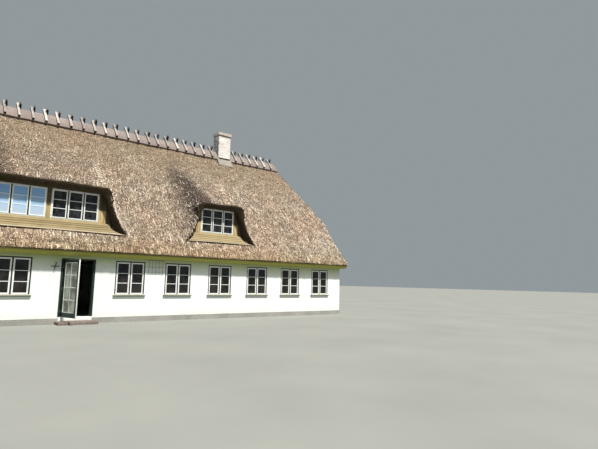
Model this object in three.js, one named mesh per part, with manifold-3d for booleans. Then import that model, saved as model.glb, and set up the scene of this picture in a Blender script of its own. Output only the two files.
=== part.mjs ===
// Long thatched farmhouse with half-hipped ends, swept dormers and a ridge held by crossed timbers.
// Millimetres, +Z up. The origin is on the ground at the middle of the plan.
// The garden front, with the door, faces -Y and the ridge runs along X.
import * as THREE from 'three';
import { mergeVertices } from 'three/addons/utils/BufferGeometryUtils.js';
import Module from 'manifold-3d';

const wasm = await Module();
wasm.setup();

// Driving dimensions of the plan and walls
const gap = 0.3;
const bay = 2000;
const houseLength = 28940;
const houseDepth = 9000;
const wallThickness = 350;
const plinthHeight = 200;
const plinthReach = 20;
const ceilingHeight = 2350;
const upperFloorThickness = 200;

// Driving dimensions of the roof
const roofPitch = 1.226;
const eavesReach = 420;
const eavesLipHeight = 2617;
const thatchThickness = 350;
const vergeX = 14750;
const ridgeEndX = 13100;
const hipLipX = 14850;

// Ridge cap and the crossed timbers on it
const capHalfWidth = 430;
const capEdgeRise = 108;
const capShoulderY = 70;
const capShoulderHeight = 8830;
const capTopHeight = 8890;
const timberPitch = 514;
const timberWidth = 85;
const timberThickness = 55;
const timberLength = 1040;
const timberSink = 12;

// Dormers
const dormerPitch = 0.6;
const lipTop = 5080;
const lipY = -houseDepth / 2;
const dormerFaceY = lipY + 400;
const hoodThickness = 280;
const lipBlunt = 10;
const lipCutTop = 140;
const lipCutSide = 400;
const outerShoulder = 1360;
const innerShoulder = 1240;
const sweepPower = 8.3;
const sweepReach = 2300;
const hoodSink = 60;
const hoodRoot = 200;
const thatchSplitX = 4000;
const dormers = [
  { name: 'long_dormer', x: 0, flat: 950, units: [-915, 915] },
  { name: 'right_dormer', x: 7000, flat: 0, units: [0] },
  { name: 'left_dormer', x: -7000, flat: 0, units: [0] },
];
const facePanelThickness = 100;
const faceHalfWidth = 1320;
const dormerWindow = { width: 1680, bottom: 3770, top: 4880, casements: 3 };
const apronTopHeight = 3725;
const apronReach = 235;
const apronLipRise = 45;
const apronFootHalf = 1440;
const apronHeadHalf = 1240;

// Ground-floor windows and the door
const groundWindow = { width: 1160, bottom: 900, top: 2320, casements: 2 };
const frontWindowBays = [-13, -11, -9, -7, -5, -3, -1, 3, 5, 7, 9, 11, 13];
const backWindowBays = [-11, -7, -3, 3, 7, 11];
const gableWindows = [
  { storey: 'ground', bottom: 900, top: 2320, width: 1160 },
  { storey: 'upper', bottom: 3350, top: 4450, width: 1160 },
];
const windowRecess = 20;
const windowDepth = 110;
const frameWidth = 60;
const casementStile = 55;
const paneRecess = 45;
const sillHeight = 100;
const sillReach = 60;
const sillEar = 80;
const door = { left: 500, right: 1680, top: 2330 };
const doorFrameDepth = 120;
const doorFrameWidth = 80;
const thresholdHeight = 40;
const leaf = { left: 590, right: 1590, bottom: 250, top: 2240, thickness: 45 };
const leafStile = 110;
const leafBottomRail = 250;
const leafBar = 28;
const leafColumns = 2;
const leafRows = 4;
const leafOpenAngle = -76;
const hinge = { x: 584, y: -houseDepth / 2 - 12, radius: 10, height: 60, heights: [450, 1240, 2030] };
const handleHeight = 1250;
const step = { left: 420, right: 1760, reach: 520, height: 100 };

// Chimneys
const chimneyX = 9385;
const stack = { width: 750, depth: 600, top: 9740 };
const chimneyCap = { reach: 60, top: 9970 };
const flue = { width: 300, depth: 250, length: 1000 };
const flashing = { side: 70, halfWidth: 580, edgeRise: 95 };

// Values worked out from the driving dimensions
const halfLength = houseLength / 2;
const halfDepth = houseDepth / 2;
const ridgeHeight = eavesLipHeight + (halfDepth + eavesReach) * roofPitch;
const thatchDrop = thatchThickness * Math.hypot(1, roofPitch);
const hoodDrop = hoodThickness * Math.hypot(1, dormerPitch);
const hipLipY = -(halfDepth + eavesReach) * 0.612;
const hipLipHeight = roofHeight(hipLipY);
const hipPitch = (ridgeHeight - hipLipHeight) / (hipLipX - ridgeEndX);
const gableTopHeight = hipLipHeight - 20;
const gableInnerX = halfLength - wallThickness;

const paint = {
  limewash: [0xeeede8, 0.9],
  plinthStone: [0x8b8a86, 0.95],
  thatch: [0x927b64, 1],
  ridgeThatch: [0x9a8b7c, 1],
  brick: [0xd9d4cc, 0.9],
  mortar: [0xb9b6ae, 0.9],
  ochreBoard: [0xc6a96c, 0.8],
  greenFrame: [0x1f3329, 0.5],
  whiteFrame: [0xf0f1ee, 0.5],
  floorBoard: [0x8a6a48, 0.8],
  stepBrick: [0x6f625a, 0.95],
};

const house = new THREE.Group();

function addPiece(name, solid, [color, roughness]) {
  const { vertProperties, triVerts } = solid.getMesh();
  const geometry = new THREE.BufferGeometry();
  geometry.setAttribute('position', new THREE.BufferAttribute(vertProperties, 3));
  geometry.setIndex(new THREE.BufferAttribute(triVerts, 1));
  geometry.computeVertexNormals();
  const mesh = new THREE.Mesh(geometry, new THREE.MeshStandardMaterial({ color, roughness }));
  mesh.name = name;
  house.add(mesh);
}

// Solids from three.js geometries
function solidOf(geometry) {
  geometry.deleteAttribute('normal');
  geometry.deleteAttribute('uv');
  const merged = mergeVertices(geometry, 0.001);
  return new wasm.Manifold(new wasm.Mesh({
    numProp: 3,
    vertProperties: new Float32Array(merged.attributes.position.array),
    triVerts: new Uint32Array(merged.index.array),
  }));
}

function block([x0, x1], [y0, y1], [z0, z1]) {
  const box = new THREE.BoxGeometry(x1 - x0, y1 - y0, z1 - z0);
  return solidOf(box.translate((x0 + x1) / 2, (y0 + y1) / 2, (z0 + z1) / 2));
}

function extruded(points, length, basis, offset) {
  const outline = new THREE.Shape(points.map(([a, b]) => new THREE.Vector2(a, b)));
  const prism = new THREE.ExtrudeGeometry(outline, { depth: length, bevelEnabled: false });
  prism.applyMatrix4(new THREE.Matrix4().makeBasis(...basis.map((axis) => new THREE.Vector3(...axis))));
  return solidOf(prism.translate(...offset));
}

// Outline points are [y, z], and the prism runs from x0 to x1.
function prismAlongX(points, x0, x1) {
  return extruded(points, x1 - x0, [[0, 1, 0], [0, 0, 1], [1, 0, 0]], [x0, 0, 0]);
}

// Outline points are [x, z], and the prism runs from y0 to y1.
function prismAlongY(points, y0, y1) {
  return extruded(points, y1 - y0, [[1, 0, 0], [0, 0, 1], [0, -1, 0]], [0, y1, 0]);
}

// Outline points are [x, y], and the prism runs from z0 to z1.
function prismAlongZ(points, z0, z1) {
  return extruded(points, z1 - z0, [[1, 0, 0], [0, 1, 0], [0, 0, 1]], [0, 0, z0]);
}

// A solid between two height functions over a grid of stations in x and rows in y.
function heightSolid(stations, rows, topAt, bottomAt) {
  const box = new THREE.BoxGeometry(2, 2, 2, stations.length - 1, rows.length - 1, 1);
  const place = box.attributes.position;
  for (let i = 0; i < place.count; i += 1) {
    const x = stations[Math.round(((place.getX(i) + 1) / 2) * (stations.length - 1))];
    const y = rows[Math.round(((place.getY(i) + 1) / 2) * (rows.length - 1))];
    place.setXYZ(i, x, y, place.getZ(i) > 0 ? topAt(x, y) : bottomAt(x, y));
  }
  return solidOf(box);
}

function cylinderUp(x, y, z0, z1, radius) {
  const post = new THREE.CylinderGeometry(radius, radius, z1 - z0, 16);
  return solidOf(post.rotateX(Math.PI / 2).translate(x, y, (z0 + z1) / 2));
}

function joined(solids) {
  return solids.reduce((whole, solid) => whole.add(solid));
}

function mirrored(points) {
  return points.map(([a, b]) => [-a, b]).reverse();
}

// Height of the outer face of the thatch over the point y
function roofHeight(y) {
  return ridgeHeight - roofPitch * Math.abs(y);
}

// Base and walls
function addBase() {
  const reachX = halfLength + plinthReach;
  const reachY = halfDepth + plinthReach;
  const plinth = block([-reachX, reachX], [-reachY, reachY], [0, plinthHeight]);
  addPiece('plinth_and_floor', plinth, paint.plinthStone);
  const left = step.left;
  const front = -reachY - step.reach;
  const doorStep = block([left, step.right], [front, -reachY - gap], [0, step.height]);
  addPiece('door_step', doorStep, paint.stepBrick);
}

function windowHole(x, y, opening) {
  const half = opening.width / 2 + gap;
  return block([x - half, x + half], [y - wallThickness, y + wallThickness],
    [opening.bottom - gap, opening.top + gap]);
}

// The wall's top follows the underside of the thatch.
function longWallProfile(bottom) {
  const underside = (y) => roofHeight(y) - thatchDrop - gap * 2;
  const inner = halfDepth - wallThickness;
  return [[-halfDepth, bottom], [-inner, bottom], [-inner, underside(inner)], [-halfDepth, underside(halfDepth)]];
}

function addLongWalls() {
  const bottom = plinthHeight + gap;
  const end = gableInnerX - gap;
  const holes = frontWindowBays.map((place) => windowHole(place * bay / 2, -halfDepth, groundWindow));
  const stretches = [
    ['front_wall_left', -end, door.left - gap, bottom],
    ['front_wall_right', door.right + gap, end, bottom],
    ['front_wall_over_door', door.left, door.right, door.top + gap],
  ];
  for (const [name, x0, x1, z0] of stretches) {
    let wall = prismAlongX(longWallProfile(z0), x0, x1);
    for (const hole of holes) {
      wall = wall.subtract(hole);
    }
    addPiece(name, wall, paint.limewash);
  }
  let back = prismAlongX(mirrored(longWallProfile(bottom)), -end, end);
  for (const place of backWindowBays) {
    back = back.subtract(windowHole(place * bay / 2, halfDepth, groundWindow));
  }
  addPiece('back_wall', back, paint.limewash);
}

function gableOutline() {
  const underside = roofHeight(halfDepth) - thatchDrop - gap * 2;
  const shoulder = halfDepth - (gableTopHeight - underside) / roofPitch;
  const right = [[halfDepth, plinthHeight + gap], [halfDepth, underside], [shoulder, gableTopHeight]];
  return [...right, ...mirrored(right)];
}

function addGableWalls() {
  for (const [side, direction] of [['right', 1], ['left', -1]]) {
    const [x0, x1] = [direction * gableInnerX, direction * halfLength].sort((a, b) => a - b);
    let wall = prismAlongX(gableOutline(), x0, x1);
    for (const opening of gableWindows) {
      const half = opening.width / 2 + gap;
      wall = wall.subtract(block([x0 - 10, x1 + 10], [-half, half], [opening.bottom - gap, opening.top + gap]));
    }
    addPiece(`${side}_gable_wall`, wall, paint.limewash);
  }
}

function stackHole(x, margin, z0, z1) {
  const halfWidth = stack.width / 2 + margin;
  const halfDeep = stack.depth / 2 + margin;
  return block([x - halfWidth, x + halfWidth], [-halfDeep, halfDeep], [z0, z1]);
}

function cutForStacks(solid) {
  return solid
    .subtract(stackHole(chimneyX, gap, 0, stack.top))
    .subtract(stackHole(-chimneyX, gap, 0, stack.top));
}

function addUpperFloor() {
  const reachX = gableInnerX - gap;
  const reachY = halfDepth - wallThickness - gap;
  const slab = block([-reachX, reachX], [-reachY, reachY], [ceilingHeight, ceilingHeight + upperFloorThickness]);
  addPiece('upper_floor', cutForStacks(slab), paint.floorBoard);
}

// Thatch of the two long slopes
function slopeProfile() {
  const eavesY = halfDepth + eavesReach;
  const cutY = thatchThickness * roofPitch / Math.hypot(1, roofPitch);
  const cutZ = thatchThickness / Math.hypot(1, roofPitch);
  return [
    [-eavesY, eavesLipHeight],
    [-eavesY + cutY, eavesLipHeight - cutZ],
    [-gap / 2, roofHeight(gap / 2) - thatchDrop],
    [-gap / 2, roofHeight(gap / 2)],
  ];
}

// The wedge of the plan that belongs to a half-hip, pushed in towards the middle by the margin
function hipRegion(margin, direction) {
  const apex = ridgeEndX - margin * 2;
  const end = hipLipX + 10;
  const half = (end - apex) * -hipLipY / (hipLipX - ridgeEndX);
  const plan = [[apex, 0], [end, -half], [end, half]].map(([x, y]) => [x * direction, y * direction]);
  return prismAlongZ(plan, 0, ridgeHeight + 500);
}

function slopeSlab(profile) {
  return prismAlongX(profile, -vergeX, vergeX)
    .subtract(hipRegion(gap, 1))
    .subtract(hipRegion(gap, -1));
}

// Swept dormer hoods
function sweep(distance, shoulder) {
  const fall = (d) => 1 / (1 + (d / shoulder) ** sweepPower);
  const rest = fall(sweepReach);
  return Math.max(0, (fall(distance) - rest) / (1 - rest));
}

function besideFlat(dormer, x) {
  return Math.max(0, Math.abs(x - dormer.x) - dormer.flat);
}

function hoodRidge(y) {
  return lipTop + dormerPitch * (y - lipY);
}

// A hood's face starts a little below the face that it rises from, so that the two cross cleanly.
function hoodOuter(dormer, x, y) {
  const start = roofHeight(y) - hoodSink;
  return start + (hoodRidge(y) - start) * sweep(besideFlat(dormer, x), outerShoulder);
}

function hoodInner(dormer, x, y) {
  const start = roofHeight(y) - thatchDrop - hoodSink;
  return start + (hoodRidge(y) - hoodDrop - start) * sweep(besideFlat(dormer, x), innerShoulder);
}

// The cut face of the thatch narrows the opening from the lip to the dormer's face.
function hoodCeiling(dormer, x, y) {
  const inner = hoodInner(dormer, x, y);
  const depth = lipCutTop + (lipCutSide - lipCutTop) * (1 - sweep(besideFlat(dormer, x), outerShoulder));
  const flare = Math.max(0, 1 - (y - lipY) / depth);
  return inner + flare * (hoodOuter(dormer, x, y) - lipBlunt - inner);
}

function hoodStations(dormer) {
  const flatEdge = dormer.flat + 500;
  const flankSteps = 11;
  const half = [dormer.flat > 0 ? flatEdge / 2 : 250, flatEdge];
  for (let i = 1; i <= flankSteps; i += 1) {
    half.push(flatEdge + (sweepReach - 500) * i / flankSteps);
  }
  return [...half.map((x) => -x).reverse(), 0, ...half].map((x) => x + dormer.x);
}

function hoodRows() {
  const reach = (lipTop - roofHeight(lipY)) / (roofPitch - dormerPitch);
  const behind = [0.25, 0.4, 0.55, 0.7, 0.85, 1.04].map((part) => lipY + reach * part);
  return [lipY, lipY + lipCutTop, lipY + (lipCutTop + lipCutSide) / 2, dormerFaceY, ...behind];
}

function hoodShell(dormer) {
  const outside = heightSolid(hoodStations(dormer), hoodRows(),
    (x, y) => hoodOuter(dormer, x, y), (x, y) => roofHeight(y) - hoodRoot);
  return outside.subtract(hoodHollow(dormer));
}

function hoodHollow(dormer) {
  const rows = hoodRows().slice(0, -1);
  rows[0] = lipY - 40;
  return heightSolid(hoodStations(dormer).slice(1, -1), rows,
    (x, y) => hoodCeiling(dormer, x, y), (x, y) => roofHeight(y) - thatchDrop - 400);
}

function addFrontThatch() {
  let thatch = cutForStacks(slopeSlab(slopeProfile()));
  const behindFace = block([-vergeX, vergeX], [dormerFaceY, 0], [0, ridgeHeight]);
  for (const dormer of dormers) {
    thatch = thatch.subtract(hoodHollow(dormer).intersect(behindFace)).add(hoodShell(dormer));
  }
  const stretches = [
    ['thatch_front_left', -hipLipX, -thatchSplitX - gap / 2],
    ['thatch_front_middle', -thatchSplitX + gap / 2, thatchSplitX - gap / 2],
    ['thatch_front_right', thatchSplitX + gap / 2, hipLipX],
  ];
  for (const [name, x0, x1] of stretches) {
    const stretch = block([x0, x1], [-halfDepth - eavesReach, 0], [0, ridgeHeight]);
    addPiece(name, thatch.intersect(stretch), paint.thatch);
  }
}

function addBackThatch() {
  addPiece('thatch_back', cutForStacks(slopeSlab(mirrored(slopeProfile()))), paint.thatch);
}

function addHips() {
  const length = Math.hypot(1, hipPitch);
  const cutX = thatchThickness * hipPitch / length;
  const cutZ = thatchThickness / length;
  const drop = thatchThickness * length;
  const profile = [
    [ridgeEndX, ridgeHeight - drop],
    [hipLipX - cutX, hipLipHeight - cutZ],
    [hipLipX, hipLipHeight],
    [ridgeEndX, ridgeHeight],
  ];
  for (const [side, direction] of [['right', 1], ['left', -1]]) {
    const outline = direction > 0 ? profile : mirrored(profile);
    const hip = prismAlongY(outline, hipLipY, -hipLipY).intersect(hipRegion(0, direction));
    addPiece(`thatch_${side}_hip`, hip, paint.thatch);
  }
}

// Ridge cap with its crossed timbers
function saddleProfile(halfWidth, edgeRise) {
  const right = [
    [halfWidth, roofHeight(halfWidth) + gap],
    [halfWidth, roofHeight(halfWidth) + edgeRise],
    [capShoulderY, capShoulderHeight],
  ];
  return [[0, ridgeHeight + gap * 2], ...right, [0, capTopHeight], ...mirrored(right)];
}

function ridgeTimber(x, side) {
  const foot = roofHeight(capHalfWidth) + capEdgeRise;
  const angle = Math.atan2(capShoulderHeight - foot, capHalfWidth - capShoulderY);
  const stick = new THREE.BoxGeometry(timberWidth, timberLength, timberThickness);
  stick.translate(0, timberLength / 2 - 60, timberThickness / 2 - timberSink);
  stick.rotateX(angle);
  stick.translate(0, -capHalfWidth, foot);
  if (side > 0) {
    stick.rotateZ(Math.PI);
  }
  return solidOf(stick.translate(x, 0, 0));
}

function addRidge() {
  const flashingEdge = stack.width / 2 + flashing.side + gap;
  const ends = [
    ['ridge_left', -ridgeEndX - 60, -chimneyX - flashingEdge],
    ['ridge_middle', -chimneyX + flashingEdge, chimneyX - flashingEdge],
    ['ridge_right', chimneyX + flashingEdge, ridgeEndX + 60],
  ];
  for (const [name, x0, x1] of ends) {
    const parts = [prismAlongX(saddleProfile(capHalfWidth, capEdgeRise), x0, x1)];
    const pairs = Math.floor((x1 - x0) / timberPitch);
    const first = (x0 + x1) / 2 - (pairs - 1) * timberPitch / 2;
    for (let i = 0; i < pairs; i += 1) {
      const x = first + i * timberPitch;
      parts.push(ridgeTimber(x - timberWidth / 2 - 2, -1));
      parts.push(ridgeTimber(x + timberWidth / 2 + 2, 1));
    }
    addPiece(name, joined(parts), paint.ridgeThatch);
  }
}

function addChimneys() {
  for (const [side, x] of [['right', chimneyX], ['left', -chimneyX]]) {
    const halfFlue = [flue.width / 2, flue.depth / 2];
    const flueHole = block([x - halfFlue[0], x + halfFlue[0]], [-halfFlue[1], halfFlue[1]],
      [stack.top - flue.length, chimneyCap.top + 10]);
    const shaft = stackHole(x, 0, plinthHeight + gap, stack.top).subtract(flueHole);
    addPiece(`${side}_chimney_stack`, shaft, paint.brick);
    const cap = stackHole(x, chimneyCap.reach, stack.top + gap, chimneyCap.top).subtract(flueHole);
    addPiece(`${side}_chimney_cap`, cap, paint.brick);
    const half = stack.width / 2 + flashing.side;
    const saddle = prismAlongX(saddleProfile(flashing.halfWidth, flashing.edgeRise), x - half, x + half);
    addPiece(`${side}_chimney_flashing`, cutForStacks(saddle), paint.mortar);
  }
}

// Dormer fronts
function dormerFaceOutline(dormer) {
  const half = faceHalfWidth + dormer.flat;
  const top = (x) => hoodInner(dormer, x, dormerFaceY) - 3;
  const inside = hoodStations(dormer).filter((x) => Math.abs(x - dormer.x) < half);
  const first = inside[0];
  const last = inside[inside.length - 1];
  const bottom = roofHeight(dormerFaceY) - thatchDrop;
  return [[first, bottom], [last, bottom], ...inside.reverse().map((x) => [x, top(x)])];
}

function dormerApron(dormer) {
  const footY = dormerFaceY - apronReach;
  const headY = dormerFaceY - gap;
  const profile = [
    [footY, roofHeight(footY) + gap],
    [headY, roofHeight(headY) + gap],
    [headY, apronTopHeight],
    [footY, roofHeight(footY) + apronLipRise],
  ];
  const foot = apronFootHalf + dormer.flat;
  const head = apronHeadHalf + dormer.flat;
  const plan = [[-foot, footY], [foot, footY], [head, headY], [-head, headY]];
  return prismAlongX(profile, dormer.x - foot, dormer.x + foot)
    .intersect(prismAlongZ(plan.map(([x, y]) => [x + dormer.x, y]), 0, lipTop));
}

function addDormerFronts() {
  for (const dormer of dormers) {
    const front = dormerFaceY + gap;
    let face = prismAlongY(dormerFaceOutline(dormer), front, front + facePanelThickness);
    const half = dormerWindow.width / 2 + gap;
    for (const unit of dormer.units) {
      const x = dormer.x + unit;
      face = face.subtract(block([x - half, x + half], [front - 10, front + facePanelThickness + 10],
        [dormerWindow.bottom - gap, dormerWindow.top + gap]));
    }
    addPiece(`${dormer.name}_front`, face, paint.ochreBoard);
    addPiece(`${dormer.name}_apron`, dormerApron(dormer), paint.ochreBoard);
  }
}

// Windows: a closed panel with one recessed pane for each casement, and a sill
function windowPanel(opening, depth) {
  const half = opening.width / 2;
  const sillTop = opening.bottom + (opening.sill ? sillHeight : 0);
  let panel = block([-half, half], [0, depth], [opening.bottom, opening.top]);
  const pitch = (opening.width - frameWidth) / opening.casements;
  for (let i = 0; i < opening.casements; i += 1) {
    const left = -half + frameWidth + i * pitch + casementStile;
    const right = left + pitch - frameWidth - 2 * casementStile;
    const low = sillTop + frameWidth + casementStile;
    const high = opening.top - frameWidth - casementStile;
    panel = panel
      .subtract(block([left, right], [-10, paneRecess], [low, high]))
      .subtract(block([left, right], [depth - paneRecess, depth + 10], [low, high]));
  }
  return panel;
}

function sillFor(opening) {
  const half = opening.width / 2;
  const front = -windowRecess - sillReach;
  return block([-half, half], [front, windowDepth / 2], [opening.bottom, opening.bottom + sillHeight])
    .add(block([-half - sillEar, half + sillEar], [front, -windowRecess - gap],
      [opening.bottom, opening.bottom + sillHeight]));
}

function wallWindow(opening) {
  return windowPanel({ ...opening, sill: true }, windowDepth).add(sillFor(opening));
}

function addWallWindow(name, x, y, turn, opening) {
  const piece = wallWindow(opening).rotate([0, 0, turn]).translate([x, y, 0]);
  addPiece(name, piece, paint.greenFrame);
}

function addWindows() {
  const face = halfDepth - windowRecess;
  frontWindowBays.forEach((place, i) => {
    addWallWindow(`front_window_${i + 1}`, place * bay / 2, -face, 0, groundWindow);
  });
  backWindowBays.forEach((place, i) => {
    addWallWindow(`back_window_${i + 1}`, place * bay / 2, face, 180, groundWindow);
  });
  for (const opening of gableWindows) {
    const sized = { ...opening, casements: 2 };
    addWallWindow(`right_gable_${opening.storey}_window`, halfLength - windowRecess, 0, 90, sized);
    addWallWindow(`left_gable_${opening.storey}_window`, windowRecess - halfLength, 0, -90, sized);
  }
}

function addDormerWindows() {
  for (const dormer of dormers) {
    dormer.units.forEach((unit, i) => {
      const panel = windowPanel(dormerWindow, facePanelThickness - 20)
        .translate([dormer.x + unit, dormerFaceY + gap + 10, 0]);
      addPiece(`${dormer.name}_window_${i + 1}`, panel, paint.whiteFrame);
    });
  }
}

// Door frame with its threshold and hinge pins
function addDoorFrame() {
  const front = -halfDepth;
  const back = front + doorFrameDepth;
  const low = plinthHeight + gap;
  const opening = block([door.left + doorFrameWidth, door.right - doorFrameWidth], [front - 10, back + 10],
    [low + thresholdHeight, door.top - doorFrameWidth]);
  const ring = block([door.left, door.right], [front, back], [low, door.top]).subtract(opening);
  const parts = [ring];
  for (const z of hinge.heights) {
    parts.push(cylinderUp(hinge.x, hinge.y, z - hinge.height, z - gap / 2, hinge.radius));
    parts.push(block([hinge.x - 34, hinge.x - 4], [hinge.y - 3, front + 2], [z - hinge.height, z - gap / 2]));
  }
  addPiece('door_frame', joined(parts), paint.greenFrame);
}

// The leaf is drawn shut, then swung open on its hinges.
function leafPanes() {
  const width = leaf.right - leaf.left - 2 * leafStile - (leafColumns - 1) * leafBar;
  const height = leaf.top - leaf.bottom - leafStile - leafBottomRail - (leafRows - 1) * leafBar;
  const paneWidth = width / leafColumns;
  const paneHeight = height / leafRows;
  const panes = [];
  for (let column = 0; column < leafColumns; column += 1) {
    for (let row = 0; row < leafRows; row += 1) {
      const x = leaf.left + leafStile + column * (paneWidth + leafBar);
      const z = leaf.bottom + leafBottomRail + row * (paneHeight + leafBar);
      panes.push([[x, x + paneWidth], [z, z + paneHeight]]);
    }
  }
  return panes;
}

function shutLeaf() {
  const front = -halfDepth;
  const back = front + leaf.thickness;
  const glassDepth = leaf.thickness / 2 - 4;
  let body = block([leaf.left, leaf.right], [front, back], [leaf.bottom, leaf.top]);
  for (const [across, up] of leafPanes()) {
    body = body.subtract(block(across, [front - 10, front + glassDepth], up));
    body = body.subtract(block(across, [back - glassDepth, back + 10], up));
  }
  const parts = [body];
  for (const z of hinge.heights) {
    parts.push(cylinderUp(hinge.x, hinge.y, z + gap / 2, z + hinge.height, hinge.radius));
    parts.push(block([hinge.x + 4, hinge.x + 44], [hinge.y - 3, front + 2], [z + gap / 2, z + hinge.height]));
  }
  const handleX = leaf.right - leafStile / 2;
  parts.push(block([handleX - 12, handleX + 12], [front - 55, back + 55], [handleHeight - 12, handleHeight + 12]));
  parts.push(block([handleX - 120, handleX + 12], [front - 55, front - 35], [handleHeight - 12, handleHeight + 12]));
  parts.push(block([handleX - 120, handleX + 12], [back + 35, back + 55], [handleHeight - 12, handleHeight + 12]));
  return joined(parts);
}

function addDoorLeaf() {
  const open = shutLeaf()
    .translate([-hinge.x, -hinge.y, 0])
    .rotate([0, 0, leafOpenAngle])
    .translate([hinge.x, hinge.y, 0]);
  addPiece('door_leaf', open, paint.whiteFrame);
}

addBase();
addLongWalls();
addGableWalls();
addUpperFloor();
addFrontThatch();
addBackThatch();
addHips();
addRidge();
addChimneys();
addDormerFronts();
addWindows();
addDormerWindows();
addDoorFrame();
addDoorLeaf();

export default house;
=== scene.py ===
import math
import random

import bmesh
import bpy
import numpy as np
from mathutils import Matrix, Vector, noise


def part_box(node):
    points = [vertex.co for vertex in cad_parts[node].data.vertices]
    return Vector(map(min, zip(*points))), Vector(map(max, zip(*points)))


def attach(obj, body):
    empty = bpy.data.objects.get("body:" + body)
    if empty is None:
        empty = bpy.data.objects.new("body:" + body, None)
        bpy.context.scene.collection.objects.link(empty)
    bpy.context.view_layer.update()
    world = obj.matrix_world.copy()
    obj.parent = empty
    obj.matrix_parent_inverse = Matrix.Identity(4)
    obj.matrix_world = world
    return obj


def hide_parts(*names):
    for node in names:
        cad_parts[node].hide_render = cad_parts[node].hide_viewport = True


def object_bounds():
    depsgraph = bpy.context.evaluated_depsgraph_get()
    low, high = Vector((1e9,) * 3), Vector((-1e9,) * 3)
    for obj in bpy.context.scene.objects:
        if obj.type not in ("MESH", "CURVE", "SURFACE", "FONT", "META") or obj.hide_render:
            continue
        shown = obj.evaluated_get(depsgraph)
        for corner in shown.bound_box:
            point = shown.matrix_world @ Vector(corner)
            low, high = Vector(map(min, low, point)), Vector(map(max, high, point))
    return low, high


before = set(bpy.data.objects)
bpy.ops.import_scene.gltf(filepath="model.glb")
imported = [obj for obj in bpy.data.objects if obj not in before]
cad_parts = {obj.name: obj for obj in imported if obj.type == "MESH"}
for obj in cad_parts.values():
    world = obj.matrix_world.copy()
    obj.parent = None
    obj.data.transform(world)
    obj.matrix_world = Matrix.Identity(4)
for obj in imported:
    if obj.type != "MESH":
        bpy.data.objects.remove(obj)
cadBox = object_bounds()
random.seed(7)


# Small helpers for objects and selections
def deselectAll():
    bpy.ops.object.select_all(action="DESELECT")


def makeActive(obj):
    deselectAll()
    obj.select_set(True)
    bpy.context.view_layer.objects.active = obj


def linkNew(name, data):
    obj = bpy.data.objects.new(name, data)
    bpy.context.scene.collection.objects.link(obj)
    return obj


def bakeTransform():
    bpy.ops.object.transform_apply(location=True, rotation=True, scale=True)


def addBlock(low, high):
    low, high = Vector(low), Vector(high)
    deselectAll()
    bpy.ops.mesh.primitive_cube_add(size=1, location=(low + high) / 2, scale=high - low)
    bakeTransform()
    return bpy.context.object


def addRod(start, end, radius, sides=10):
    start, end = Vector(start), Vector(end)
    along = end - start
    deselectAll()
    bpy.ops.mesh.primitive_cylinder_add(vertices=sides, radius=radius, depth=along.length)
    rod = bpy.context.object
    turn = along.to_track_quat("Z", "Y").to_matrix().to_4x4()
    rod.data.transform(Matrix.Translation((start + end) / 2) @ turn)
    return rod


def openEdit(obj, mode="FACE", action="DESELECT"):
    makeActive(obj)
    bpy.ops.object.mode_set(mode="EDIT")
    bpy.ops.mesh.select_mode(type=mode)
    bpy.ops.mesh.select_all(action=action)


def closeEdit():
    bpy.ops.object.mode_set(mode="OBJECT")


def pickEdges(obj, test):
    mesh = bmesh.from_edit_mesh(obj.data)
    for edge in mesh.edges:
        edge.select_set(test(edge.verts[0].co, edge.verts[1].co))


def applyModifier(obj, kind, **settings):
    makeActive(obj)
    modifier = obj.modifiers.new(kind.title(), kind)
    for name, value in settings.items():
        setattr(modifier, name, value)
    bpy.ops.object.modifier_apply(modifier=modifier.name)


def shadeSmooth(obj, angle=None):
    makeActive(obj)
    if angle:
        bpy.ops.object.shade_smooth_by_angle(angle=math.radians(angle))
    else:
        bpy.ops.object.shade_smooth()


def soften(obj, width, segments=2, angle=30):
    applyModifier(obj, "BEVEL", width=width, segments=segments, limit_method="ANGLE",
                  angle_limit=math.radians(angle))
    shadeSmooth(obj, 40)
    return obj


def copyOf(obj, place=Matrix()):
    copy = linkNew("copy", obj.data.copy())
    copy.data.transform(place)
    return copy


def joinAll(parts):
    deselectAll()
    for part in parts:
        part.select_set(True)
    bpy.context.view_layer.objects.active = parts[0]
    if len(parts) > 1:
        bpy.ops.object.join()
    return parts[0]


def removeAll(*objs):
    for obj in objs:
        bpy.data.objects.remove(obj)


def mergePoints(obj, turnOutward=False):
    openEdit(obj, action="SELECT")
    bpy.ops.mesh.remove_doubles(threshold=0.0001)
    if turnOutward:
        bpy.ops.mesh.normals_make_consistent(inside=False)
    closeEdit()


def copyOfNodes(nodes):
    parts = [copyOf(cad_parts[node]) for node in nodes]
    for part in parts:
        part.data.materials.clear()
    whole = joinAll(parts)
    mergePoints(whole)
    return whole


def readVectors(items, what):
    values = np.empty(len(items) * 3)
    items.foreach_get(what, values)
    return values.reshape(-1, 3)


def readPoints(obj, what="co"):
    return readVectors(obj.data.vertices, what)


def writePoints(obj, points):
    obj.data.vertices.foreach_set("co", points.ravel())
    obj.data.update()


def writeInside(obj, points):
    writePoints(obj, np.clip(points, cadBox[0], cadBox[1]))  # nothing reaches past the frame's own box


def play(reach):
    return random.uniform(-reach, reach)


def unit(values):
    return np.clip(values, 0, 1)


def paint(obj, *materials):
    obj.data.materials.clear()
    for material in materials:
        obj.data.materials.append(material)
    return obj


def paintFaces(obj, material, other, test):
    paint(obj, material, other)
    for face in obj.data.polygons:
        face.material_index = int(test(face.normal))
    return obj


def setTone(obj, value):
    layer = obj.data.attributes.get("tone") or obj.data.attributes.new("tone", "FLOAT", "POINT")
    layer.data.foreach_set("value", np.full(len(obj.data.vertices), value))


def finishPiece(parts, name, nodes=(), body="house"):
    piece = joinAll(parts)
    piece.name = name
    piece.data.name = name
    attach(piece, body)
    if nodes:
        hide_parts(*nodes)


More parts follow.
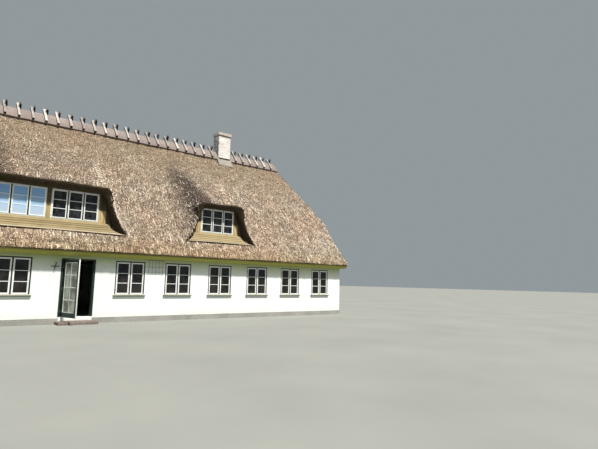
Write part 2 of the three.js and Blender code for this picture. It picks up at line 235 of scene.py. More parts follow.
# Material helpers
def startMaterial(name, roughness, specular=0.3):
    material = bpy.data.materials.new(name)
    material.use_nodes = True
    shader = material.node_tree.nodes["Principled BSDF"]
    shader.inputs["Roughness"].default_value = roughness
    shader.inputs["Specular IOR Level"].default_value = specular
    return material, material.node_tree


def addNode(tree, kind, settings=None, **inputs):
    node = tree.nodes.new(kind)
    for name, value in (settings or {}).items():
        setattr(node, name, value)
    for name, value in inputs.items():
        socket = node.inputs[name] if name in node.inputs else node.inputs[int(name[1:])]
        if isinstance(value, bpy.types.NodeSocket):
            tree.links.new(value, socket)
        else:
            socket.default_value = value
    return node


def endMaterial(material, color, height=None, distance=0.0, strength=1.0):
    tree = material.node_tree
    shader = tree.nodes["Principled BSDF"]
    tree.links.new(color, shader.inputs["Base Color"])
    if height:
        bump = addNode(tree, "ShaderNodeBump", None, Height=height, Distance=distance, Strength=strength)
        tree.links.new(bump.outputs["Normal"], shader.inputs["Normal"])
    return material


def calculate(tree, operation, first, second=0.0):
    return addNode(tree, "ShaderNodeMath", {"operation": operation}, i0=first, i1=second).outputs[0]


def times(tree, first, second):
    return calculate(tree, "MULTIPLY", first, second)


def weigh(tree, first, *others):
    total = times(tree, *first)
    for value, weight in others:
        total = calculate(tree, "ADD", total, times(tree, value, weight))
    return total


def awayFrom(tree, value, middle):
    return calculate(tree, "ABSOLUTE", calculate(tree, "SUBTRACT", value, middle))


def scaled(tree, place, scale):
    return addNode(tree, "ShaderNodeMapping", None, Vector=place, Scale=scale).outputs[0]


def rawPlace(tree):
    return addNode(tree, "ShaderNodeTexCoord").outputs["Object"]


def objectPlace(tree, scale=(1, 1, 1)):
    return scaled(tree, rawPlace(tree), scale)


def partsOf(tree, place):
    return addNode(tree, "ShaderNodeSeparateXYZ", None, Vector=place).outputs


def toneOf(tree):
    return addNode(tree, "ShaderNodeAttribute", {"attribute_name": "tone"}).outputs["Fac"]


def noiseAt(tree, place, scale, detail=4.0, roughness=0.55, distortion=0.0):
    return addNode(tree, "ShaderNodeTexNoise", None, Vector=place, Scale=scale, Detail=detail,
                   Roughness=roughness, Distortion=distortion).outputs["Fac"]


def rampOf(tree, value, stops):
    ramp = addNode(tree, "ShaderNodeValToRGB", None, Fac=value)
    points = ramp.color_ramp.elements
    while len(points) < len(stops):
        points.new(1.0)
    for point, (place, color) in zip(points, stops):
        point.position = place
        point.color = (*color, 1)
    return ramp.outputs["Color"]


def blend(tree, share, first, second, kind="MIX"):
    mix = addNode(tree, "ShaderNodeMix", {"data_type": "RGBA", "blend_type": kind}, i0=share)
    for socket, value in ((mix.inputs[6], first), (mix.inputs[7], second)):
        if isinstance(value, bpy.types.NodeSocket):
            tree.links.new(value, socket)
        else:
            socket.default_value = (*value, 1)
    return mix.outputs[2]


def spread(tree, value, low, high):
    share = addNode(tree, "ShaderNodeMapRange", {"clamp": True}, Value=value, i1=low, i2=high)
    return share.outputs["Result"]


# Camera, light and floor
view = {
    "place": (-3.650, -22.776, 1.661),
    "yaw": 50.334,  # degrees from +X towards +Y
    "pitch": 7.059,
    "roll": 1.273,
    "focalPixels": 465.005,
    "pictureWidth": 598,
    "sensorWidth": 36,
    "farthest": 1000,
    "sunFrom": (0.13, -0.70, 1.43),  # towards the light
    "sunPower": 6.8,
    "sunSpread": 3,
    "sunColor": (1.0, 0.965, 0.91),
    "skyColor": (0.79, 0.89, 0.93),
    "skyPower": 0.36,
    "floorSize": 400,
    "floorDrop": 0.002,
    "floorTones": [(0.3, (0.21, 0.215, 0.20)), (0.7, (0.24, 0.245, 0.225))],
}


def addCamera():
    yaw, pitch, roll = (math.radians(view[name]) for name in ("yaw", "pitch", "roll"))
    ahead = Vector((math.cos(yaw) * math.cos(pitch), math.sin(yaw) * math.cos(pitch), math.sin(pitch)))
    right = Vector((math.sin(yaw), -math.cos(yaw), 0))
    up = right.cross(ahead)
    tiltedRight = right * math.cos(roll) + up * math.sin(roll)
    tiltedUp = up * math.cos(roll) - right * math.sin(roll)
    lens = bpy.data.cameras.new("photoCamera")
    lens.sensor_width = view["sensorWidth"]
    lens.lens = view["focalPixels"] / view["pictureWidth"] * lens.sensor_width
    lens.clip_end = view["farthest"]
    camera = linkNew("photoCamera", lens)
    turn = Matrix((tiltedRight, tiltedUp, -ahead)).transposed().to_4x4()
    camera.matrix_world = Matrix.Translation(view["place"]) @ turn
    bpy.context.scene.camera = camera


def addLight():
    sun = bpy.data.lights.new("softSun", "SUN")
    sun.energy = view["sunPower"]
    sun.angle = math.radians(view["sunSpread"])
    sun.color = view["sunColor"]
    lamp = linkNew("softSun", sun)
    lamp.rotation_euler = Vector(view["sunFrom"]).to_track_quat("Z", "Y").to_euler()
    bpy.context.scene.view_settings.view_transform = "Standard"
    world = bpy.data.worlds.new("paleSky")
    bpy.context.scene.world = world
    world.use_nodes = True
    sky = world.node_tree.nodes["Background"]
    sky.inputs["Color"].default_value = (*view["skyColor"], 1)
    sky.inputs["Strength"].default_value = view["skyPower"]


def addFloor():
    deselectAll()
    bpy.ops.mesh.primitive_plane_add(size=view["floorSize"], location=(0, 0, -view["floorDrop"]))
    floor = bpy.context.object
    floor.name = "paleFloor"
    material, tree = startMaterial("paleFloor", 0.9)
    speckle = noiseAt(tree, objectPlace(tree), 0.35, 3)
    paint(floor, endMaterial(material, rampOf(tree, speckle, view["floorTones"])))


addCamera()
addLight()
addFloor()
print("camera, light and floor are in place")

# Thatch: one soft mass over the whole roof, with reeds laid over it
roof = {
    "nodes": ["thatch_front_left", "thatch_front_middle", "thatch_front_right",
              "thatch_back", "thatch_right_hip", "thatch_left_hip"],
    "pitch": 1.226,
    "hipPitch": 2.109,
    "ridgeEndX": 13.1,
    "hipPlanSlope": 1.75 / 3.011,  # run along X for each metre of Y on a hip line
    "voxel": 0.068,
    "rounding": 1,
    "broadWave": 0.035,
    "broadScale": (0.7, 0.5, 0.5),
    "smallWave": 0.016,
    "smallScale": (3.4, 1.7, 1.7),
    "undersideFrom": -0.15,  # upward part of the normal
    "keptFaces": 0.6,
    "innerTowards": 0.4,
    "innerBelow": -0.2,
}
straw = {
    "strokes": (22, 6.5, 14),
    "fineStrokes": (64, 15, 40),
    "weights": (0.55, 0.3, 0.42, 0.34),  # strokes, fine strokes, tone of a bundle, mottle
    "range": (0.56, 1.04),
    "tones": [(0.0, (0.12, 0.092, 0.070)), (0.3, (0.36, 0.29, 0.225)),
              (0.6, (0.60, 0.505, 0.42)), (1.0, (0.84, 0.75, 0.655))],
    "warmth": [(0.35, (1.0, 0.93, 0.86)), (0.65, (0.98, 1.0, 0.98))],
    "ridgeHeights": (5.8, 8.4),
    "ridgeShare": 0.55,
    "ridgeColor": (0.225, 0.17, 0.11),
    "eaveHeights": (3.4, 2.75),
    "eaveTint": (0.98, 0.93, 0.81),
    "shadeStripMiddles": (6.12, -1.83, -7.88),  # painted shade on strips left of the hoods, where the flanks face away from the sun
    "shadeStripRise": (3.8, 4.8),
    "shadeStripEnd": (7.8, 6.6),
    "shadeStripSide": (0.0, -0.4),
    "shadeStripWidth": (0.75, 0.2),
    "dampAndShadeStrokes": (1.08, 0.78),
    "dampAndShadeShare": 0.95,
    "dampAndShadeColor": (0.060, 0.044, 0.036),
    # painted shade on faces that look down: undersides of the bundles and the eave's cut face
    "underShadeFacing": (0.22, -0.02),  # upward part of the normal
    "underShadeShare": 0.93,
    "underShadeColor": (0.030, 0.019, 0.012),
    "mossAndBounceHeights": (2.60, 2.53),  # the eave's cut face keeps its painted shade above, and below has moss with painted green light bounced from the ground
    "mossAndBounceFacing": (-0.05, -0.3),
    "mossAndBounceShare": 0.85,
    "mossAndBounceColor": (0.45, 0.455, 0.11),
    "cutMossAndBounceShare": 0.66,
    "cutMossAndBounceLeast": 0.12,
    "cutMossAndBounceColor": (0.40, 0.40, 0.095),
}


def thatchMaterial():
    material, tree = startMaterial("reedThatch", 0.95, 0.15)
    place = rawPlace(tree)
    x, y, z = partsOf(tree, place)
    across, deep = calculate(tree, "ABSOLUTE", x), calculate(tree, "ABSOLUTE", y)
    flow = []  # places measured down the slopes and down the hips
    for side, run, pitch in ((x, deep, roof["pitch"]), (y, across, roof["hipPitch"])):
        point = addNode(tree, "ShaderNodeCombineXYZ", None, X=side, Y=run, Z=z).outputs[0]
        turned = addNode(tree, "ShaderNodeMapping", None, Vector=point, Rotation=(math.atan(pitch), 0, 0))
        flow.append(turned.outputs[0])
    beyond = calculate(tree, "SUBTRACT", across, roof["ridgeEndX"])
    onHip = calculate(tree, "GREATER_THAN", beyond, times(tree, deep, roof["hipPlanSlope"]))
    along = addNode(tree, "ShaderNodeMix", {"data_type": "VECTOR"},
                    i0=onHip, i4=flow[0], i5=flow[1]).outputs[1]
    strokes = noiseAt(tree, scaled(tree, along, straw["strokes"]), 1.0, 3, 0.6)
    fineStrokes = noiseAt(tree, scaled(tree, along, straw["fineStrokes"]), 1.0, 2, 0.6)
    patches, mottle = noiseAt(tree, place, 0.55, 3, 0.5), noiseAt(tree, place, 3.2, 3, 0.6)
    mixed = weigh(tree, *zip((strokes, fineStrokes, toneOf(tree), mottle), straw["weights"]))
    color = rampOf(tree, spread(tree, mixed, *straw["range"]), straw["tones"])
    color = blend(tree, 1.0, color, rampOf(tree, patches, straw["warmth"]), "MULTIPLY")
    nearRidge = spread(tree, z, *straw["ridgeHeights"])
    color = blend(tree, times(tree, nearRidge, straw["ridgeShare"]), color, straw["ridgeColor"])
    nearEave = spread(tree, z, *straw["eaveHeights"])
    color = blend(tree, nearEave, color, blend(tree, 1.0, color, straw["eaveTint"], "MULTIPLY"))
    aboutHoods = times(tree, spread(tree, z, *straw["shadeStripRise"]), spread(tree, z, *straw["shadeStripEnd"]))
    aboutHoods = times(tree, aboutHoods, spread(tree, y, *straw["shadeStripSide"]))
    # painted shade: dark streaks on the hood flanks left of each dormer, which face away from the sun
    for middle in straw["shadeStripMiddles"]:
        dampAndShade = times(tree, spread(tree, awayFrom(tree, x, middle), *straw["shadeStripWidth"]), aboutHoods)
        dampAndShade = times(tree, dampAndShade, spread(tree, mixed, *straw["dampAndShadeStrokes"]))
        color = blend(tree, times(tree, dampAndShade, straw["dampAndShadeShare"]), color, straw["dampAndShadeColor"])
    up = partsOf(tree, addNode(tree, "ShaderNodeNewGeometry").outputs["Normal"])[2]
    # painted shade darkens every face that looks down
    underShade = spread(tree, up, *straw["underShadeFacing"])
    # olive on the low downward faces of the eave: moss with painted green light bounced up from the ground
    mossAndBounce = times(tree, spread(tree, up, *straw["mossAndBounceFacing"]), spread(tree, z, *straw["mossAndBounceHeights"]))
    color = blend(tree, times(tree, underShade, straw["underShadeShare"]), color, straw["underShadeColor"])
    color = blend(tree, times(tree, mossAndBounce, straw["mossAndBounceShare"]), color, straw["mossAndBounceColor"])
    return endMaterial(material, color, calculate(tree, "ADD", strokes, fineStrokes), 0.03, 0.7)


def waveAt(point):
    broad = noise.noise(Vector(np.multiply(point, roof["broadScale"])))
    small = noise.noise(Vector(np.multiply(point, roof["smallScale"])))
    return broad * roof["broadWave"] + small * roof["smallWave"]


def isOnHip(points):
    return np.abs(points[:, 0]) - roof["ridgeEndX"] > np.abs(points[:, 1]) * roof["hipPlanSlope"]


def isInner(points, normals):
    inward = -np.sign(points) * normals
    towards = np.where(isOnHip(points), inward[:, 0], inward[:, 1])
    return (towards > roof["innerTowards"]) & (normals[:, 2] < roof["innerBelow"])


# The swept hoods over the dormers: their lips are squarer and crisper than the soft mass
hoods = {
    "places": {0.0: (0.95, 0.08), 7.0: (0.0, 0.045), -7.0: (0.0, 0.045)},  # middle: flat half, crown's lift
    "lip": (-4.5, 5.08),
    "pitch": 0.6,
    "roofTop": 8.589,
    "frontOf": -3.2,
    "above": 2.9,
    "shoulder": 1.36,
    "power": 8.3,
    "reach": 2.3,
    "reachBlend": 0.4,
    "shiftFrom": 0.3,
    "shiftBlend": 0.5,
    "shiftAt": (0.0, 0.04, 0.11, 0.26, 0.39, 0.51, 0.61, 0.69, 0.78, 0.86, 0.93, 1.0),  # foot to crown
    "shiftRight": (0.0, 0.10, 0.17, 0.10, 0.04, 0.02, 0.01, 0.03, 0.08, 0.13, 0.16, 0.17),
    "shiftLeft": (0.0, 0.0, -0.01, -0.06, -0.09, -0.10, -0.08, -0.03, 0.06, 0.12, 0.16, 0.17),
    "cutFrom": 0.06,
    "cutBlend": 0.15,
    "frontBlend": 0.4,
    "liftReach": 0.35,
    "cutReach": 0.36,
    "outerReach": 0.9,
}


def sweepAt(beside):
    fall = 1 / (1 + (np.maximum(beside, 0) / hoods["shoulder"]) ** hoods["power"])
    rest = 1 / (1 + (hoods["reach"] / hoods["shoulder"]) ** hoods["power"])
    return unit((fall - rest) / (1 - rest))


def squareHoods(points):
    x, y, z = points.T  # views, so they follow the moves below
    behind = y - hoods["lip"][0]
    foot = hoods["roofTop"] + roof["pitch"] * y
    crown = hoods["lip"][1] + hoods["pitch"] * behind
    onFront = (y < hoods["frontOf"]) & (z > hoods["above"])
    for middle, (flat, crownLift) in hoods["places"].items():
        beside = np.abs(x - middle) - flat
        toRight = x > middle
        sweep = sweepAt(beside)
        outer = foot + (crown - foot) * sweep
        cut = unit((outer - z - hoods["cutFrom"]) / hoods["cutBlend"])  # 1 on the cut face and the soffit
        ahead = unit(1 + behind / hoods["frontBlend"]) * onFront
        outerFade, cutFade, liftFade = (unit(1 - behind / hoods[name])
                                        for name in ("outerReach", "cutReach", "liftReach"))
        fade = ((1 - cut) * outerFade + cut * cutFade) * ahead
        height = unit((z - foot) / np.maximum(crown - foot, 0.1))
        shift = np.where(toRight, np.interp(height, hoods["shiftAt"], hoods["shiftRight"]),
                         -np.interp(height, hoods["shiftAt"], hoods["shiftLeft"]))
        reach = unit((beside - hoods["shiftFrom"]) / hoods["shiftBlend"])
        reach = reach * unit((hoods["reach"] - beside) / hoods["reachBlend"])
        lift = np.where(beside < hoods["reach"], crownLift * liftFade * sweep * ahead, 0)
        points[:, 0] += shift * fade * reach
        points[:, 2] += lift
    return points


def makeThatch(material):
    thatch = copyOfNodes(roof["nodes"])
    applyModifier(thatch, "REMESH", mode="VOXEL", voxel_size=roof["voxel"])
    applyModifier(thatch, "SMOOTH", factor=0.5, iterations=roof["rounding"])
    writeInside(thatch, squareHoods(readPoints(thatch)))
    points, normals = readPoints(thatch), readPoints(thatch, "normal")
    waves = np.array([waveAt(point) for point in points]) - roof["smallWave"]
    waves[normals[:, 2] < roof["undersideFrom"]] = 0
    writeInside(thatch, points + normals * waves[:, None])
    inner = thatch.vertex_groups.new(name="inner")  # the rafters' side needs few faces
    inner.add(np.flatnonzero(isInner(points, normals)).tolist(), 1.0, "REPLACE")
    applyModifier(thatch, "DECIMATE", ratio=roof["keptFaces"], vertex_group="inner")
    thatch.vertex_groups.clear()
    shadeSmooth(paint(thatch, material))
    print("thatch:", len(thatch.data.polygons), "faces")
    return thatch


def keepHalf(thatch, name, side, nodes):
    half = copyOf(thatch)
    openEdit(half, action="SELECT")
    bpy.ops.mesh.bisect(plane_co=(0, 0, 0), plane_no=(0, -side, 0), use_fill=True, clear_outer=True)
    closeEdit()
    shadeSmooth(half, 60)
    print(name, len(half.data.polygons), "faces")
    finishPiece([half], name, nodes)


reedThatch = thatchMaterial()
thatchRoof = makeThatch(reedThatch)

# Reed bundles laid over the thatch, butts down the slope, and cut ends along its edges
reeds = {
    "slopeBundle": (0.25, 0.031, 0.034, 0.010),  # length, radius, sink of the head, overhang
    "edgeBundle": (0.08, 0.018, 0, 0.004),
    "flatness": 0.85,
    "sizes": ((0.65, 0.6, 0.6), (1.35, 1.3, 1.3)),
    "drift": Vector((0.12, 0.16, 0.16)),  # tilt and sway
    "ways": {"front": (0, -1, "pitch"), "back": (0, 1, "pitch"),
             "left": (-1, 0, "hipPitch"), "right": (1, 0, "hipPitch")},
    "onSlope": 205,  # bundles on each square metre
    "onBack": 150,
    "onEdge": 420,
    "slopes": [("reeds_front_left", "front"), ("reeds_front_middle", "front"),  # zones 1 to 7
               ("reeds_front_right", "front"), ("reeds_back_left", "back"), ("reeds_back_right", "back"),
               ("reeds_left_hip", "left"), ("reeds_right_hip", "right")],
    "edges": [("reed_ends_front", "front"), ("reed_ends_back", "back"),  # zones 8 to 11
              ("reed_ends_left", "left"), ("reed_ends_right", "right")],
    "splitX": 4.0,
    "topFrom": 0.12,
    "edgeBelow": -0.15,
    "edgeOutward": 0.25,
    "underRidge": 0.20,
    "saddleX": 9.385,
    "saddleHalf": (0.46, 0.52),
    "apronHalf": 1.26,  # bare thatch under the aprons
    "apronRange": (-4.38, -2.5),
    "apronLift": 0.18,
    "flareFrom": -4.1,
    "flareRun": 0.28,
    "flare": 0.5,
}


def makeBundle(length, radius, sink, overhang):
    deselectAll()
    bpy.ops.mesh.primitive_cone_add(vertices=3, radius1=radius, radius2=0, depth=length)
    bundle = bpy.context.object
    openEdit(bundle, "VERT", "SELECT")
    bpy.ops.transform.rotate(value=math.radians(-90), orient_axis="X", center_override=(0, 0, 0))
    bpy.ops.transform.resize(value=(1, 1, reeds["flatness"]), center_override=(0, 0, 0))
    closeEdit()
    points = readPoints(bundle)
    points[points[:, 1] < 0, 2] -= sink  # the thin head lies in the thatch
    points[:, 1] -= length / 2 - overhang  # a bundle is placed by its butt
    writePoints(bundle, points)
    return bundle


def isCovered(centres):
    x, y, z = centres.T
    saddleX, saddleY = reeds["saddleHalf"]
    head, foot = reeds["apronRange"]
    covered = np.abs(y) < reeds["underRidge"]
    covered |= (np.abs(np.abs(x) - reeds["saddleX"]) < saddleX) & (np.abs(y) < saddleY)
    closeToSlope = z < hoods["roofTop"] + roof["pitch"] * y + reeds["apronLift"]
    for middle, (flat, _) in hoods["places"].items():
        down = unit((reeds["flareFrom"] - y) / reeds["flareRun"])
        half = flat + reeds["apronHalf"] + reeds["flare"] * down ** 3
        covered |= (np.abs(x - middle) < half) & (y > head) & (y < foot) & closeToSlope
    return covered


def markZones(thatch):
    mesh = thatch.data
    centres, normals = readVectors(mesh.polygons, "center"), readVectors(mesh.polygons, "normal")
    onHip, up = isOnHip(centres), normals[:, 2]
    away = np.sign(centres) * normals
    outward = np.where(onHip, away[:, 0], away[:, 1])
    onEdge = (up < reeds["edgeBelow"]) & (outward > reeds["edgeOutward"])
    front, right = centres[:, 1] < 0, centres[:, 0] > 0
    stretch = np.digitize(centres[:, 0], [-reeds["splitX"], reeds["splitX"]])
    zones = np.where(onHip, 6 + right, np.where(front, 1 + stretch, 4 + right))
    zones[(up <= reeds["topFrom"]) | isCovered(centres)] = 0
    zones = np.where(onEdge, np.where(onHip, 10 + right, np.where(front, 8, 9)), zones)
    layer = mesh.attributes.new("reedZone", "INT", "FACE")
    layer.data.foreach_set("value", zones.astype(np.int32))


def layReeds(host, bundle, zone, downhill, density, onSlope):
    seed = 10 * zone
    carrier = linkNew("carrier", bpy.data.meshes.new("carrier"))
    tree = bpy.data.node_groups.new("layReeds", "GeometryNodeTree")
    tree.interface.new_socket("Reeds", in_out="OUTPUT", socket_type="NodeSocketGeometry")
    surface, shape = (addNode(tree, "GeometryNodeObjectInfo", None, Object=obj).outputs["Geometry"]
                      for obj in (host, bundle))
    mark = addNode(tree, "GeometryNodeInputNamedAttribute", {"data_type": "INT"}, Name="reedZone").outputs[0]
    chosen = addNode(tree, "FunctionNodeCompare", {"data_type": "INT", "operation": "EQUAL"},
                     i2=mark, i3=zone)
    points = addNode(tree, "GeometryNodeDistributePointsOnFaces", None, Mesh=surface, Density=density,
                     Selection=chosen.outputs[0], Seed=seed)
    turned = addNode(tree, "FunctionNodeAlignRotationToVector",
                     {"axis": "Y", "pivot_axis": "Z" if onSlope else "AUTO"}, Vector=downhill)
    if onSlope:
        tree.links.new(points.outputs["Rotation"], turned.inputs["Rotation"])
    size = addNode(tree, "FunctionNodeRandomValue", {"data_type": "FLOAT_VECTOR"},
                   i0=reeds["sizes"][0], i1=reeds["sizes"][1], Seed=seed + 1).outputs[0]
    laid = addNode(tree, "GeometryNodeInstanceOnPoints", None, Points=points.outputs["Points"],
                   Instance=shape, Rotation=turned.outputs[0], Scale=size)
    drift = addNode(tree, "FunctionNodeRandomValue", {"data_type": "FLOAT_VECTOR"},
                    i0=-reeds["drift"], i1=reeds["drift"], Seed=seed + 2).outputs[0]
    swayed = addNode(tree, "GeometryNodeRotateInstances", None, Instances=laid.outputs[0], Rotation=drift)
    shade = addNode(tree, "FunctionNodeRandomValue", {"data_type": "FLOAT"}, Seed=seed + 3).outputs[1]
    toned = addNode(tree, "GeometryNodeStoreNamedAttribute", {"data_type": "FLOAT", "domain": "INSTANCE"},
                    Geometry=swayed.outputs[0], Name="tone", Value=shade)
    whole = addNode(tree, "GeometryNodeRealizeInstances", None, Geometry=toned.outputs[0])
    end = tree.nodes.new("NodeGroupOutput")
    tree.links.new(whole.outputs[0], end.inputs[0])
    applyModifier(carrier, "NODES", node_group=tree)
    bpy.data.node_groups.remove(tree)
    writeInside(carrier, readPoints(carrier))
    return carrier


def cutReedMaterial():
    material, tree = startMaterial("cutReeds", 0.95, 0.15)
    flecks = noiseAt(tree, objectPlace(tree), 30, 2)
    mixed = weigh(tree, (toneOf(tree), 0.5), (flecks, 0.5))
    # the cut ends are painted near black: painted shade under the overhanging reeds
    color = rampOf(tree, mixed, [(0.3, (0.014, 0.009, 0.006)), (0.8, (0.060, 0.042, 0.028))])
    height = partsOf(tree, objectPlace(tree))[2]
    # olive low on the cut ends: moss with painted green light bounced up from the ground
    mossAndBounce = times(tree, spread(tree, height, *straw["mossAndBounceHeights"]), straw["cutMossAndBounceShare"])
    mossAndBounce = calculate(tree, "ADD", mossAndBounce, straw["cutMossAndBounceLeast"])
    return endMaterial(material, blend(tree, mossAndBounce, color, straw["cutMossAndBounceColor"]))


def addReeds(thatch, material, cutMaterial):
    markZones(thatch)
    long, short = makeBundle(*reeds["slopeBundle"]), makeBundle(*reeds["edgeBundle"])
    for zone, (name, way) in enumerate(reeds["slopes"] + reeds["edges"], 1):
        onSlope = zone <= len(reeds["slopes"])
        density = reeds["onEdge"] if not onSlope else reeds["onBack" if way == "back" else "onSlope"]
        wayX, wayY, pitch = reeds["ways"][way]
        fall = math.atan(roof[pitch])
        downhill = Vector((wayX * math.cos(fall), wayY * math.cos(fall), -math.sin(fall)))
        piece = layReeds(thatch, long if onSlope else short, zone, downhill, density, onSlope)
        finishPiece([paint(piece, material if onSlope else cutMaterial)], name)
        print(name, len(piece.data.polygons), "faces")
    removeAll(long, short)
    thatch.data.attributes.remove(thatch.data.attributes["reedZone"])


addReeds(thatchRoof, reedThatch, cutReedMaterial())
keepHalf(thatchRoof, "thatch_roof_front", -1, roof["nodes"][:3] + roof["nodes"][4:])
keepHalf(thatchRoof, "thatch_roof_back", 1, ["thatch_back"])
removeAll(thatchRoof)
print("the reeds are laid")


# Finishes of wood, straw, brick and mortar
def woodMaterial(name, dark, light, along, roughness=0.8, hoodShadow=None):
    material, tree = startMaterial(name, roughness, 0.2)
    scale = [34, 34, 34]
    scale["XYZ".index(along)] = 2.2  # the grain is long one way
    grain = noiseAt(tree, objectPlace(tree, scale), 1.0, 4, 0.6, 0.4)
    patches = noiseAt(tree, objectPlace(tree), 2.6, 3)
    mixed = weigh(tree, (grain, 0.6), (patches, 0.4), (toneOf(tree), 0.3))
    color = rampOf(tree, spread(tree, mixed, 0.4, 0.85), [(0.0, dark), (1.0, light)])
    if hoodShadow:  # painted shadow of the hoods: dark over the upper boards and beside the flanks
        x, _, z = partsOf(tree, objectPlace(tree))
        away = [calculate(tree, "SUBTRACT", awayFrom(tree, x, middle), flat)
                for middle, (flat, _) in hoods["places"].items()]
        nearest = calculate(tree, "MINIMUM", calculate(tree, "MINIMUM", away[0], away[1]), away[2])
        shadowMask = calculate(tree, "MAXIMUM", spread(tree, z, *hoodShadow["height"]),
                         spread(tree, nearest, *hoodShadow["aside"]))
        color = blend(tree, times(tree, shadowMask, 0.9), color, hoodShadow["color"])
    return endMaterial(material, color, grain, 0.004, 0.6)


def masonryMaterial(name, dark, light, bump=0.004, scale=18, toneShare=0.15):
    material, tree = startMaterial(name, 0.92, 0.15)
    rough = noiseAt(tree, objectPlace(tree), scale, 5, 0.65)
    patches = noiseAt(tree, objectPlace(tree), 1.7, 4, 0.6)
    mixed = weigh(tree, (rough, 0.4), (patches, 0.6), (toneOf(tree), toneShare))
    color = rampOf(tree, spread(tree, mixed, 0.3, 0.6 + toneShare), [(0.0, dark), (1.0, light)])
    return endMaterial(material, color, rough, bump, 0.8)


def strawMaterial():
    material, tree = startMaterial("ridgeStraw", 0.95, 0.15)
    strokes = noiseAt(tree, objectPlace(tree, (60, 5, 5)), 1.0, 3, 0.6)
    patches = noiseAt(tree, objectPlace(tree), 1.4, 3)
    mixed = weigh(tree, (strokes, 0.7), (patches, 0.3))
    color = rampOf(tree, mixed, [(0.3, (0.15, 0.122, 0.108)), (0.7, (0.33, 0.275, 0.25))])
    return endMaterial(material, color, strokes, 0.015, 0.6)


# the upper boards and those beside the flanks get a painted shadow of the hood
ochreBoard = woodMaterial("ochreBoard", (0.38, 0.29, 0.135), (0.68, 0.54, 0.30), "Z", hoodShadow={
    "height": (4.19, 4.27),
    "aside": (1.06, 1.09),
    "color": (0.060, 0.044, 0.030),
})
ochreApron = woodMaterial("ochreApron", (0.17, 0.130, 0.062), (0.31, 0.245, 0.135), "X")
paleLip = woodMaterial("paleLip", (0.22, 0.18, 0.115), (0.36, 0.305, 0.21), "X")
silverTimber = woodMaterial("silverTimber", (0.18, 0.165, 0.15), (0.56, 0.53, 0.50), "Y", 0.9)
# end grain, also used as painted shade on the timbers' undersides
endGrain = woodMaterial("endGrain", (0.016, 0.013, 0.010), (0.055, 0.045, 0.036), "Y", 0.95)
ridgeStraw = strawMaterial()

# Ridge: a straw cap with pairs of split timbers across it
ridge = {
    "runs": {"ridge_left": "left", "ridge_middle": "middle", "ridge_right": "right"},
    "halfWidth": 0.30,
    "top": 8.86,
    "fall": 1.70,
    "roundness": 0.07,
    "curl": 0.06,
    "curlWidth": 0.06,
    "thickness": 0.15,
    "cell": 0.07,
    "rows": 16,
    "waviness": 0.014,
    "waveScale": (2.3, 2.5),
    "edgeWaviness": 0.05,
    "edgeScale": 1.9,
    "endSlant": 0.22,
    "endBlend": 0.5,
    "endsFrom": 12,  # only the runs that reach this far have a hip end
    "feet": {"left": (-12.66, 0.498, 6), "middle": (-8.46, 0.5185, 34), "right": (10.17, 0.498, 6)},
    "timberWidth": 0.105,
    "timberLength": 0.80,
    "timberThickness": 0.12,
    "timberSink": 0.012,
    "timberFoot": (-0.40, 8.285),
    "timberAngle": 54,
    "timberLean": 4,
    "timberStart": 0.17,
    "sideShift": 0.09,
    "footPlay": 0.02,
    "anglePlay": 0.8,
    "bow": 0.012,
    "bend": 0.01,
    "widths": (0.75, 1.05),
    "lengths": (0.97, 1.03),
    "pegHeight": 8.89,
    "pegReach": (0.20, 0.06),
    "pegRadius": 0.011,
}


def makeRidgeCap(low, high):
    half, soft, far = ridge["halfWidth"], ridge["roundness"], max(abs(low), abs(high))
    deselectAll()
    bpy.ops.mesh.primitive_grid_add(x_subdivisions=int((high - low) / ridge["cell"]),
                                    y_subdivisions=ridge["rows"], size=1, location=((low + high) / 2, 0, 0))
    cap = bpy.context.object
    cap.scale = (high - low, 2 * half, 1)
    bakeTransform()
    points = readPoints(cap)
    drop = ridge["fall"] * (np.sqrt(points[:, 1] ** 2 + soft ** 2) - soft)
    scaleX, scaleY = ridge["waveScale"]
    wave = np.array([noise.noise(Vector((x * scaleX, y * scaleY, 4.0))) for x, y in points[:, :2]])
    curl = unit((np.abs(points[:, 1]) - half) / ridge["curlWidth"] + 1)
    points[:, 2] = ridge["top"] - drop + wave * ridge["waviness"] - ridge["curl"] * curl ** 2
    outward = unit((np.abs(points[:, 0]) - far + ridge["endBlend"]) / ridge["endBlend"])
    slant = ridge["endSlant"] * (1 - np.abs(points[:, 1]) / half) * (far > ridge["endsFrom"])
    points[:, 0] -= np.sign(points[:, 0]) * slant * outward
    ragged = np.array([noise.noise(Vector((x * ridge["edgeScale"], 7.0, np.sign(y))))
                       for x, y in points[:, :2]])
    points[:, 1] *= 1 + ridge["edgeWaviness"] * ragged
    writePoints(cap, points)
    applyModifier(cap, "SOLIDIFY", thickness=ridge["thickness"], offset=-1)
    mergePoints(cap, True)
    shadeSmooth(cap, 50)
    return paint(cap, ridgeStraw)


def makeTimber():
    half, start, sink = ridge["timberWidth"] / 2, ridge["timberStart"], ridge["timberSink"]
    timber = addBlock((-half, start, -sink),
                      (half, start + ridge["timberLength"], ridge["timberThickness"] - sink))
    openEdit(timber, "EDGE")
    pickEdges(timber, lambda first, second: abs((first - second).y) > 0.5)  # the long edges
    bpy.ops.mesh.subdivide(number_cuts=4)
    closeEdit()
    soften(timber, 0.007, 1)
    # ends and undersides of the timbers are painted dark: end grain with painted shade
    return paintFaces(timber, silverTimber, endGrain, lambda normal: abs(normal.y) > 0.9 or normal.z < -0.9)


